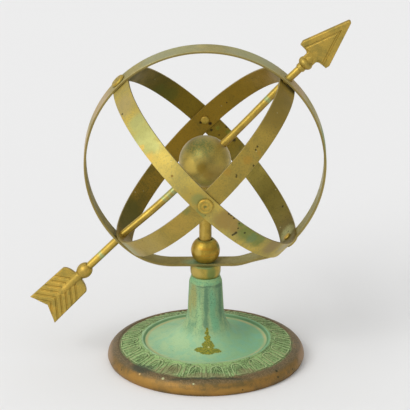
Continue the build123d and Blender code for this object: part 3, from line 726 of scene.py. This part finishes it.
# The bright upright stripe on the stem's left front is a painted highlight, and the dark upright stripe on
# its right side is painted shade.
colour = stained(torn_place(place, 5.0, 1.5), brass.outputs["Colour"], [
    ((0.62, 0.44, 0.1), 0.6, [(-2.5, -4.5, 118, 2.6, 3, 18)]),
    ((0.24, 0.2, 0.05), 0.6, [(4.8, -1, 118, 2, 4, 20), (0, 0, 153, 7, 7, 3)])])
finish_metal(shader, colour, 0.75, 0.45, brass.outputs["Grain"], 0.2)
for name in ("stem_pipe", "stem_washer", "stem_nut"):
    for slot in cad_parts[name].material_slots:
        slot.material = pipe_brass


# Equatorial ring: a strip square to the arrow, seated inside the meridian ring and riveted to
# it at both crossings. Its corners are eased where it lies in the meridian ring's bend.
seat_radius = ring_outside - strip_thickness


def round_path(radius):
    """A plain circle, from its first direction: place and outward direction for each length."""
    return lambda u: (radius * np.cos(u / radius), radius * np.sin(u / radius), np.cos(u / radius),
                      np.sin(u / radius))


def eased_under(points, axis, radius):
    """Points farther from the axis than the radius are drawn in to it, straight towards it."""
    along = points @ axis
    square = points - along[:, None] * axis
    far = np.linalg.norm(square, axis=1)
    return along[:, None] * axis + square * np.minimum(1, (radius - 0.02) / np.maximum(far, 1e-9))[:, None]


equator_length = 2 * pi * seat_radius
equator_holes = [(equator_length * q, 0.0, rivet_hole, 2, 6) for q in (0.0, 0.25, 0.5, 0.75)]
outer, inner, faces, outside = pierced_strip(
    round_path(seat_radius), equator_length, equator_holes, front, across, polar)
outer = eased_under(outer, front, seat_radius)
# The second, much darker set of tones is painted shade on the equatorial strip's inner face.
equator_brass = ring_material(
    "equatorial strip brass", polar, ((0.56, 0.42, 0.085), (0.44, 0.345, 0.085), (0.34, 0.29, 0.09)),
    ((0.2, 0.145, 0.02), (0.155, 0.12, 0.018), (0.1, 0.09, 0.018)),
    [((0.42, 0.33, 0.14), 0.6, [(-66, -35, 238, 16)]),
     ((0.39, 0.41, 0.15), 0.75, [(-48, -69, 226, 17), (-55, -58, 233, 12), (-43, -76, 219, 11)]),
     ((0.62, 0.4, 0.08), 0.65, [(-45, -80, 212, 6), (-51, -73, 217, 4), (-66.6, -46.1, 232, 2.2)]),
     ((0.66, 0.5, 0.12), 0.5, [(-36, -86, 205, 17)]),
     ((0.4, 0.28, 0.05), 0.6, [(-9, -97, 178, 20)]),
     ((0.23, 0.26, 0.08), 0.7, [(-5.5, -97.7, 182, 7.5), (-4, -97.6, 169, 7)]),
     ((0.31, 0.2, 0.055), 0.8, [(16, -95, 164, 14), (26, -92, 156, 10)]),
     ((0.17, 0.22, 0.05), 0.85, [(35, -87, 149, 13.5), (43, -80, 140, 11), (30, -91.5, 158, 6)]),
     ((0.15, 0.25, 0.11), 0.6, [(38, -84, 142, 7)]),
     ((0.3, 0.21, 0.09), 0.7, [(55, -65, 127, 13)]),
     ((0.4, 0.33, 0.17), 0.7, [(65, -50, 120, 10)]),
     ((0.035, 0.03, 0.012), 0.95, [(11.9, -96.1, 176.5, 1.9), (14.5, -95.9, 174.6, 1.1),
         (19.5, -96.1, 168.8, 1.5), (21, -95.6, 167, 1.2), (23.2, -94.7, 164.2, 1.2),
         (27.4, -92.7, 158.7, 1.1), (26.6, -91.7, 154.3, 1.1), (24.7, -91.1, 150, 1.8),
         (23.4, -91.2, 149, 1.4), (22.2, -91.3, 148.2, 1.4), (31.9, -88.5, 148.9, 1.3),
         (-67.2, -41.6, 234.6, 1.1)]),
     ((0.24, 0.14, 0.03), 0.9, [(-26.8, -91.3, 200, 1.5)])],
    [((0.25, 0.165, 0.014), 0.85, [(-14, 94, 191, 32), (12, 94, 166, 26)]),
     ((0.12, 0.13, 0.02), 0.6, [(-29, 88, 202, 10), (-38, 84, 209, 9)]),
     ((0.24, 0.19, 0.035), 0.75, [(45, 75, 135, 30), (60, 45, 118, 24)]),
     ((0.2, 0.24, 0.03), 0.6, [(11, 95, 168.4, 3), (20, 93.5, 165, 4)]),
     ((0.42, 0.41, 0.16), 0.85, [(67.5, 8, 109, 10, 13, 9)]),
     ((0.04, 0.03, 0.008), 0.95, [(68.8, 8.7, 110, 1.1), (64.5, 42, 118.8, 1.5), (11.8, 94.2, 162.4, 1.1),
         (18.2, 94.3, 169.6, 1.4), (24.6, 91.3, 159, 2.0), (5.5, 95.4, 166.5, 1.5), (23, 92.5, 162, 1.1)])])
finish_ring("equatorial_strip", np.concatenate([outer, inner]) + middle, faces, outside, equator_brass,
            "equatorial_ring")


# Hour ring: a strip that runs along the arrow, seated inside the equatorial ring, riveted to
# it in front and behind, and pierced for the arrow's shaft.
hour_outside = seat_radius - strip_thickness
hour_length = 2 * pi * hour_outside
hour_holes = [
    (hour_length * 0.25, arrow_up, rod_hole, 3, 7), (hour_length * 0.75, arrow_up, rod_hole, 3, 7),
    (0.0, 0.0, rivet_hole, 2, 6), (hour_length * 0.5, 0.0, rivet_hole, 2, 6)]
outer, inner, faces, outside = pierced_strip(
    round_path(hour_outside), hour_length, hour_holes, front, polar, across)
outer = eased_under(outer, polar, hour_outside)
# The second, darker set of tones is painted shade on the hour strip's inner face.
hour_brass = ring_material(
    "hour strip brass", across, ((0.42, 0.295, 0.055), (0.33, 0.245, 0.05), (0.25, 0.2, 0.05)),
    ((0.3, 0.19, 0.022), (0.22, 0.15, 0.02), (0.12, 0.105, 0.02)),
    [((0.43, 0.32, 0.085), 0.75, [(-45, -73, 133, 24), (-57, -52, 121, 15)]),
     ((0.37, 0.36, 0.15), 0.75, [(-62, -43, 117, 11), (-67, -28, 111, 11)]),
     ((0.46, 0.31, 0.06), 0.65, [(-24, -91, 160, 17)]),
     ((0.23, 0.16, 0.03), 0.7, [(54, -47, 240, 27), (62, -28, 243, 20)]),
     ((0.43, 0.24, 0.035), 0.55, [(34.7, -82.8, 210.3, 5), (18.5, -90.5, 203, 4.5), (43, -76, 213, 3)]),
     ((0.2, 0.22, 0.06), 0.6, [(-16, -93, 172, 5), (-10, -94, 176, 4)]),
     ((0.055, 0.04, 0.01), 0.92, [(42.5, -74.9, 218.8, 1.3), (41.1, -76.8, 216.6, 1.2),
         (25.4, -89.5, 199.9, 1.1), (25.2, -90, 198.4, 1.1), (39.2, -83, 205.5, 1.2),
         (-37, -84, 146, 0.9)])],
    [((0.33, 0.2, 0.018), 0.85, [(-23, 90, 162, 30), (8, 93, 185, 28), (30, 82, 212, 26),
        (48, 62, 227, 22)]),
     ((0.12, 0.115, 0.022), 0.75, [(-63, 37, 117, 19), (-68, 22, 112, 14)]),
     ((0.02, 0.012, 0.003), 0.95, [(-3.6, 93.9, 173.9, 1.6), (4.5, 94, 172.9, 2.1),
         (18.2, 90.7, 193, 1.0)])])
finish_ring("hour_strip", np.concatenate([outer, inner]) + middle, faces, outside, hour_brass, "hour_ring")


# Rivets: brass, four of them, a wide head with a rolled edge and a dimple outside, a closed tail
# inside. They hold the rings together in pairs at their crossings.
rivet_brass, shader, place = new_material("rivet brass")
brass = brass_in(place, 150.0, (0.58, 0.4, 0.07), (0.44, 0.31, 0.05), (0.25, 0.2, 0.05), 0.4)
hollow = mark_of(place, "hollow")
colour = blend_of(eased(noise_of(place, 300.0)[0], 0.5, 0.65, 0.0, 0.5), brass.outputs["Colour"],
                  (0.5, 0.25, 0.03, 1))
colour = blend_of(times(hollow, 0.8), colour, (0.15, 0.17, 0.05, 1))
finish_metal(shader, colour, 0.7, 0.42, brass.outputs["Grain"], 0.3)
rivet_shank, grip = 2.5, 4.065
rivet_line = np.array([
    [0.02, 1.95], [0.5, 1.96], [0.95, 2.12], [1.3, 2.4], [1.7, 2.55], [2.2, 2.5], [2.9, 2.3], [3.7, 2.12],
    [4.4, 2.2], [4.9, 2.3], [5.4, 2.22], [5.9, 1.92], [6.3, 1.4], [6.52, 0.8], [6.58, 0.3], [6.5, 0.02],
    [6.3, 0.0], [rivet_shank, 0.0], [rivet_shank, -grip], [3.1, -grip], [3.32, -grip - 0.15],
    [3.42, -grip - 0.6], [3.3, -grip - 1.1], [2.9, -grip - 1.5], [2.1, -grip - 1.78], [1.1, -grip - 1.93],
    [0.02, -grip - 1.97]])
rivet_hollow = np.interp(np.arange(len(rivet_line)), [0, 2, 4, 6, 7, 9, 13, 15, 17, 26],
                         [1, 1, 0, 0, 0.45, 0, 0.2, 1, 0, 0])
turn = np.arange(64) * 2 * pi / 64
last_row = 64 * (len(rivet_line) - 1)
rivet_faces = [grid_faces(len(rivet_line), 64), np.arange(64)[None, ::-1], np.arange(64)[None] + last_row]
for name, outward, out_radius in (("front_rivet", front, seat_radius), ("rear_rivet", -front, seat_radius),
                                  ("upper_rivet", across, ring_outside),
                                  ("lower_rivet", -across, ring_outside)):
    aside, upright = np.cross(outward, polar), polar
    if abs(outward @ front) < 0.5:
        aside, upright = front, np.cross(front, outward)
    round_it = np.cos(turn)[:, None] * aside + np.sin(turn)[:, None] * upright
    rivet_points = (middle + (out_radius + rivet_line[:, None, 1:]) * outward
                    + rivet_line[:, None, :1] * round_it)
    make_piece("turned_" + name, rivet_points, rivet_faces, rivet_brass, "sphere", [name], "rivet_brass",
               hollow=np.repeat(rivet_hollow, 64))


# Globe: a turned brass ball for the earth, bored through for the arrow's shaft and drilled
# from below for the stem that it is pressed on.
globe_radius, bore, socket_radius, socket_end = 21.5, 3.4, 5.2, -14.5
turn_from = np.arcsin(bore / globe_radius)
swing = np.linspace(turn_from + 0.02, pi - turn_from - 0.02, 150)
bore_line = np.linspace(-1, 1, 12) * (globe_radius * np.cos(turn_from) - 0.15)
globe_line = np.concatenate([
    np.column_stack([globe_radius * np.sin(swing), globe_radius * np.cos(swing)]),
    np.column_stack([bore + 0 * bore_line, bore_line])])
turn = np.arange(240) * 2 * pi / 240
globe_points = (globe_line[:, None, :1] * (np.cos(turn)[:, None] * front + np.sin(turn)[:, None] * across)
                + globe_line[:, None, 1:] * polar + middle)
globe_brass, shader, place = new_material("globe brass")
brass = brass_in(place, 55.0, (0.46, 0.34, 0.07), (0.34, 0.255, 0.06), (0.2, 0.19, 0.06), 0.5)
green_grain = eased(noise_of(place, 700.0, 2.0, 0.6)[0], 0.42, 0.6, 0.2, 1.0)
torn = torn_place(place, 9.0, 3.5)
# The gold spot on the left front, a little above the middle, is a painted highlight.
colour = stained(torn, brass.outputs["Colour"], [
    ((0.66, 0.48, 0.1), 0.7, [(-12, -17, 178, 9)]),
    ((0.3, 0.19, 0.02), 0.7, [(-3, -21, 178, 7), (2, -21, 172, 6)]),
    ((0.3, 0.2, 0.05), 0.5, [(8, -19, 172, 12)])])
green_cap = times(spots_mask(torn, [(-4, -11, 193, 17, 14, 12), (5, 10, 193, 14)]), green_grain)
colour = blend_of(times(green_cap, 0.85), colour, (0.15, 0.19, 0.055, 1))
finish_metal(shader, colour, 0.7, 0.42, brass.outputs["Grain"], 0.25)
shader.inputs["Sheen Weight"].default_value = 0.35
shader.inputs["Sheen Roughness"].default_value = 0.35
shader.inputs["Sheen Tint"].default_value = (1.0, 0.86, 0.62, 1)
globe_piece = make_piece("turned_globe", globe_points, [grid_faces(len(globe_line), 240, close_rows=True)],
                         globe_brass, "sphere", ["globe"], "turned_brass")
socket_line = np.array([[0, -30.0], [socket_radius, -30.0], [socket_radius, socket_end], [0, socket_end]])
socket_mesh = bpy.data.meshes.new("socket drill")
socket_mesh.from_pydata(((turned_points(socket_line, 96) + middle) / 1000).reshape(-1, 3).tolist(), [],
                        grid_faces(4, 96).tolist())
sides = bmesh.new()
sides.from_mesh(socket_mesh)
bmesh.ops.remove_doubles(sides, verts=sides.verts, dist=1e-6)
bmesh.ops.recalc_face_normals(sides, faces=sides.faces)
sides.to_mesh(socket_mesh)
sides.free()
drill = bpy.data.objects.new("socket drill", socket_mesh)
scene.collection.objects.link(drill)
cut = globe_piece.modifiers.new("stem socket", "BOOLEAN")
cut.operation = "DIFFERENCE"
cut.object = drill
drilled = bpy.data.meshes.new_from_object(globe_piece.evaluated_get(bpy.context.evaluated_depsgraph_get()))
globe_piece.modifiers.clear()
globe_piece.data = drilled
bpy.data.objects.remove(drill)


# Gnomon rod: quarter inch brass rod, the arrow's shaft. Years of pulling have bowed it, so it
# goes through the globe's middle a little below the line between its two ends.
rod_radius = 3.175
rod_back, rod_front = -145.8, 124.3


def rod_bow(along):
    """How far the rod lies off its straight line, towards the arrow's underside: most a little
    behind the middle, and passing smoothly into nothing where it enters the rings."""
    from_deepest = (along + 25) / np.where(along < -25, 75, 125)
    return -2.6 * (1 - np.minimum(np.abs(from_deepest), 1) ** 3) ** 2


along_rod = np.concatenate([[rod_back, rod_back, rod_back + 0.15],
                            np.linspace(rod_back + 0.5, rod_front - 0.5, 220),
                            [rod_front - 0.15, rod_front, rod_front]])
thick = rod_radius + 0 * along_rod
thick[[0, -1]] = 0
thick[[1, -2]] = rod_radius - 0.4
thick[[2, -3]] = rod_radius - 0.12
turn = np.arange(64) * 2 * pi / 64
rod_points = (arrow_middle + along_rod[:, None, None] * polar + rod_bow(along_rod)[:, None, None] * across
              + thick[:, None, None] * (np.cos(turn)[:, None] * front + np.sin(turn)[:, None] * across))
rod_brass, shader, place = new_material("gnomon rod brass")
brass = brass_in(place, 70.0, (0.64, 0.44, 0.075), (0.5, 0.345, 0.06), (0.27, 0.2, 0.045), 0.35)
# The rod's lower right side, kept in the mark called under, is darkened to orange-brown: painted shade on the
# side away from the lamp.
colour = blend_of(times(mark_of(place, "under"), 0.65), brass.outputs["Colour"], (0.27, 0.14, 0.02, 1))


def on_rod(along, reach):
    """A stain's place on the rod's bowed middle line, with its reach."""
    return (*(arrow_middle + along * polar + rod_bow(np.array(along)) * across), reach)


colour = stained(torn_place(place, 3.0, 0.8), colour, [
    ((0.29, 0.5, 0.26), 0.95, [on_rod(s, 4.6) for s in (75.5, -37, -42, -46.5, -119.5)]),
    ((0.24, 0.33, 0.12), 0.75, [on_rod(101, 3.6), on_rod(-97, 4.0), on_rod(94, 3.4)]),
    ((0.42, 0.5, 0.26), 0.8, [on_rod(-133, 3.6)])])
finish_metal(shader, colour, 0.7, 0.4, brass.outputs["Grain"], 0.2)
# How far each point faces down and to the right, for the rod's painted shade.
rod_painted_shade = np.clip(0.15 - 0.95 * np.sin(turn) + 0.1 * np.cos(turn), 0, 1) + 0 * along_rod[:, None]
make_piece("bowed_rod", rod_points, [grid_faces(len(along_rod), 64)], rod_brass, "arrow_shaft",
           ["gnomon_rod"], "rod_brass", under=rod_painted_shade.reshape(-1))


# Arrowhead: a brass casting on the rod's front end: a beaded socket, then a flat blade with a
# sunk border between a raised field and two ribs along its edges.
head_back = 112.5
bead_back, bead_front, barb_back, edge_from, head_tip = 115.9, 122.9, 127.9, 131.5, 171.0
barb_half, tip_round = 15.5, 2.2
neck_from, cone_end = 119.4, 129.5
shaft_socket, shaft_socket_depth = 3.265, 12.0
ferrule_radius, bead_radius = 4.1, 6.3


def smooth_step(x, low, high):
    """0 below low, 1 above high, and an even S-shaped rise between."""
    t = np.clip((x - low) / (high - low), 0, 1)
    return t * t * (3 - 2 * t)


def bead(x, start, end, edge, crown):
    """Radius of a turned bead: an arc through its two edges and its crown, nothing outside."""
    half, sag = (end - start) / 2, crown - edge
    arc = (half ** 2 + sag ** 2) / (2 * sag)
    far = np.abs(x - (start + end) / 2)
    return np.where(far <= half, crown - arc + np.sqrt(np.maximum(arc ** 2 - far ** 2, 0)), 0)


def cast_points(x, half_width, thickness, places, socket_end, socket_radius, socket_depth, middle, along,
                aside, face):
    """A flat casting with two faces. Each station is a closed loop across it: over the upper face
    from edge to edge and back over the lower one, as high as the thickness says at that place.
    The first stations are the socket: from its floor out to its rim."""
    across_loop = places[None, :] * half_width[:, None]
    high = thickness(x, across_loop)
    upper = np.stack([x, across_loop, high], -1)
    lower = np.stack([x, across_loop, -high], -1)[:, -2:0:-1]
    loop = np.concatenate([upper, lower], 1)
    rim = loop[0]
    way = rim[:, 1:] / np.maximum(np.linalg.norm(rim[:, 1:], axis=1), 1e-9)[:, None]
    hole = [np.column_stack([np.full(len(rim), socket_end + depth), way * radius])
            for depth, radius in ((socket_depth, 0.0), (socket_depth, socket_radius),
                                  (0.2, socket_radius), (0.0, socket_radius + 0.2))]
    loop = np.concatenate([np.array(hole), loop])
    return middle + loop[..., :1] * along + loop[..., 1:2] * aside + loop[..., 2:] * face


def head_half_width(x):
    """Half the head's width: socket, neck with a hollow flare, barb, straight edge, round tip."""
    flare = np.clip((x - 125.2) / 2.7, 0, 1)
    neck = np.where(x > neck_from, 5.5 + 5.5 * (1 - np.sqrt(1 - flare ** 2)), 0)
    blade = np.interp(x, [barb_back, barb_back + 0.04, edge_from, head_tip - tip_round],
                      [11.0, 14.6, barb_half, tip_round])
    tip = np.sqrt(np.maximum(tip_round ** 2 - np.maximum(x - head_tip + tip_round, 0) ** 2, 0))
    plate = np.where(x <= barb_back, neck, np.where(x < head_tip - tip_round, blade, tip))
    return np.maximum(plate, head_round(x))


def head_round(x):
    """Radius of the socket: ferrule with a broken edge, bead, and a cone that sinks in the field."""
    broken_edge = 0.3 * (1 - np.clip((x - head_back) / 0.3, 0, 1)) ** 2
    ferrule = np.where(x <= bead_back + 0.3, ferrule_radius - broken_edge, 0)
    sinking = np.interp(x, [bead_front, cone_end], [ferrule_radius, 1.2])
    cone = np.where((x >= bead_front - 0.3) & (x < cone_end), sinking, 0)
    beaded = bead(x, bead_back, bead_front, ferrule_radius, bead_radius)
    return np.maximum(np.maximum(ferrule, beaded), cone)


def head_thickness(x, y):
    """Half thickness of the head: the web, the ribs within five millimetres of the slanting
    edges, the field, all with soft shoulders and a rounded rim, or the socket where it is more."""
    slope = (barb_half - tip_round) / (head_tip - tip_round - edge_from)
    lean = np.cos(np.arctan(slope))
    from_edge = (barb_half - slope * (x - edge_from) - np.abs(y)) * lean
    rib = smooth_step(-from_edge, -5.2, -4.5)
    field = smooth_step(from_edge, 6.3, 6.9) * smooth_step(x, barb_back + 0.8, barb_back + 1.4)
    neck = smooth_step(-x, -129.3, -128.6) * smooth_step(-np.abs(y), -5.6, -5.0)
    plate = np.maximum(1.3 + 1.3 * rib, 1.3 + 0.6 * np.maximum(field, neck))
    from_back = np.where(np.abs(y) > 11, x - barb_back, 99)
    rim = np.where(x > barb_back, np.minimum(np.minimum(from_edge, 15.6 - np.abs(y)), from_back), 99)
    rim = np.minimum(rim, head_half_width(x) - np.abs(y))
    plate = plate * np.sqrt(1 - (1 - np.clip(rim / 0.9, 0, 1)) ** 2) * (x > neck_from)
    return np.maximum(plate, np.sqrt(np.maximum(head_round(x) ** 2 - y ** 2, 0)))


places = np.linspace(-1, 1, 121)
places = 0.75 * places + 0.25 * np.sin(places * pi / 2)
tip_turn = np.sin(np.linspace(0, 1, 14) * pi / 2)
tip_x = head_tip - tip_round + tip_round * tip_turn
stations = np.concatenate([
    [head_back, 112.6, 112.8, 113.2], np.linspace(114, 115.8, 5), np.linspace(115.9, 122.9, 25),
    np.linspace(123.2, 127.9, 16), [127.94, 128.05, 128.2], np.linspace(128.4, 131.5, 14),
    np.linspace(131.9, 168.5, 95), tip_x])
head_x = stations[:, None] * np.ones(len(places))
head_points = cast_points(head_x, head_half_width(stations), head_thickness, places, head_back, shaft_socket,
                          shaft_socket_depth, arrow_middle, polar, across, front)
cast_brass, shader, place = new_material("cast arrow brass")
brass = brass_in(place, 70.0, (0.56, 0.36, 0.06), (0.42, 0.29, 0.05), (0.2, 0.17, 0.04), 0.5)
finish_metal(shader, brass.outputs["Colour"], 0.7, 0.45, brass.outputs["Grain"], 0.3, 0.5, 0.0003)
make_piece("cast_arrowhead", head_points, [grid_faces(len(head_points), head_points.shape[1])], cast_brass,
           "arrow_ends", ["arrowhead"], "cast_brass")


# Arrow tail: the casting on the rod's back end: a collar and a tapering spine between two
# feathers, each cut into slanting barbs on both faces, with a notch at the end.
tail_front, collar_back, shoulder_from, feather_from, tail_end, notch = 134.0, 145.0, 146.8, 151.5, 189.5, 6.2
feather_near, feather_far, plate_from = 14.0, 14.9, 139.5
first_groove, groove_pitch, groove_slant = 150.7, 5.7, np.radians(52)
turned_by = np.radians(15)
feather_face = front * np.cos(turned_by) + across * np.sin(turned_by)
feather_side = np.cross(feather_face, -polar)


def tail_round(x):
    """Radius of collar and spine: a long bead, then a cone that tapers and dies in the web."""
    spine = np.interp(x, [collar_back, 165.0, 175.0, 176.0], [4.2, 3.3, 1.0, 0.0])
    spine = np.where(x >= collar_back - 0.5, spine, 0)
    return np.maximum(bead(x, tail_front, collar_back, ferrule_radius, bead_radius), spine)


def tail_half_width(x):
    """Half the tail's width: collar, short neck, a rounded shoulder, then the feather's edge."""
    rise = np.clip((x - shoulder_from) / (feather_from - shoulder_from), 0, 1)
    shoulder = 3.4 + (feather_near - 3.4) * np.sqrt(1 - (1 - rise) ** 1.6)
    edge = np.interp(x, [feather_from, tail_end], [feather_near, feather_far])
    plate = np.where(x < plate_from, 0, np.where(x < feather_from, shoulder, edge))
    return np.maximum(plate, tail_round(x))


def tail_thickness(x, y):
    """Half thickness of the tail: the web, the barbs between slanting grooves that start at the
    spine, with a rounded rim, or the collar and spine where they are more."""
    along = x - first_groove - np.abs(y) / np.tan(groove_slant)
    count = np.clip(np.round(along / groove_pitch), 0, 5)
    groove = np.abs(along - groove_pitch * count) * np.sin(groove_slant)
    plate = 1.4 + 0.9 * smooth_step(groove, 0.3, 1.0)
    end = (tail_end - notch * (1 - np.abs(y) / feather_far) - x) * 0.92
    rim = np.minimum(tail_half_width(x) - np.abs(y), end)
    plate = plate * np.sqrt(1 - (1 - np.clip(rim / 0.8, 0, 1)) ** 2) * (x > plate_from)
    core = np.sqrt(np.maximum(tail_round(x) ** 2 - y ** 2, 0))
    return np.maximum(plate, core * np.sqrt(np.clip(end / 1.0, 0, 1)))


nominal = np.concatenate([[134.0, 134.1], np.linspace(134.3, 145.0, 34), np.linspace(145.3, 151.5, 22),
                          np.linspace(151.8, 188.9, 110), [189.2, 189.35, 189.45, 189.5]])
share = (nominal[:, None] - tail_front) / (tail_end - tail_front)
tail_x = nominal[:, None] - notch * (1 - np.abs(places)) * share ** 2
tail_points = cast_points(tail_x, tail_half_width(nominal), tail_thickness, places, tail_front, shaft_socket,
                          shaft_socket_depth, arrow_middle, -polar, feather_side, feather_face)
make_piece("cast_feathers", tail_points, [grid_faces(len(tail_points), tail_points.shape[1])], cast_brass,
           "arrow_ends", ["arrow_tail"], "cast_brass")


# Floor: a plain pale sheet under the object, lit by a pale room that is brightest up on the left
# and by one soft lamp. The camera stands far off with a long lens, as the photograph's did.
floor_mesh = bpy.data.meshes.new("floor")
floor_mesh.from_pydata([(-6, -6, 0), (6, -6, 0), (6, 6, 0), (-6, 6, 0)], [], [(0, 1, 2, 3)])
floor = bpy.data.objects.new("floor", floor_mesh)
scene.collection.objects.link(floor)
paper, shader = new_material("pale paper")[:2]
shader.inputs["Base Color"].default_value = (0.785, 0.785, 0.785, 1)
shader.inputs["Roughness"].default_value = 0.9
floor_mesh.materials.append(paper)
room = bpy.data.worlds.new("room")
room.use_nodes = True
scene.world = room
nodes = room.node_tree.nodes
way_up = nodes.new("ShaderNodeTexCoord").outputs["Generated"]
towards_window = vector_of("DOT_PRODUCT", way_up, (-0.5, -0.25, 0.83))
join(eased(towards_window, -0.9, 1.0, 0.42, 0.88), nodes["Background"].inputs["Strength"])
nodes["Background"].inputs[0].default_value = (1, 1, 1, 1)
sun = bpy.data.lights.new("lamp", "SUN")
sun.energy = 1.4
sun.angle = 0.6
lamp = bpy.data.objects.new("lamp", sun)
lamp.rotation_euler = (0.55, -0.75, 0)
scene.collection.objects.link(lamp)

lens = bpy.data.cameras.new("camera")
lens.sensor_width = 36
lens.lens = 533.45
lens.clip_end = 50
camera = bpy.data.objects.new("camera", lens)
camera_place, camera_down, camera_roll = (-0.000225, -4.64954, 2.02965), 0.386502, -0.00457584
camera.matrix_world = (Matrix.Translation(camera_place) @ Matrix.Rotation(pi / 2 - camera_down, 4, "X")
                       @ Matrix.Rotation(camera_roll, 4, "Z"))
scene.collection.objects.link(camera)
scene.camera = camera
scene.view_settings.view_transform = "Standard"
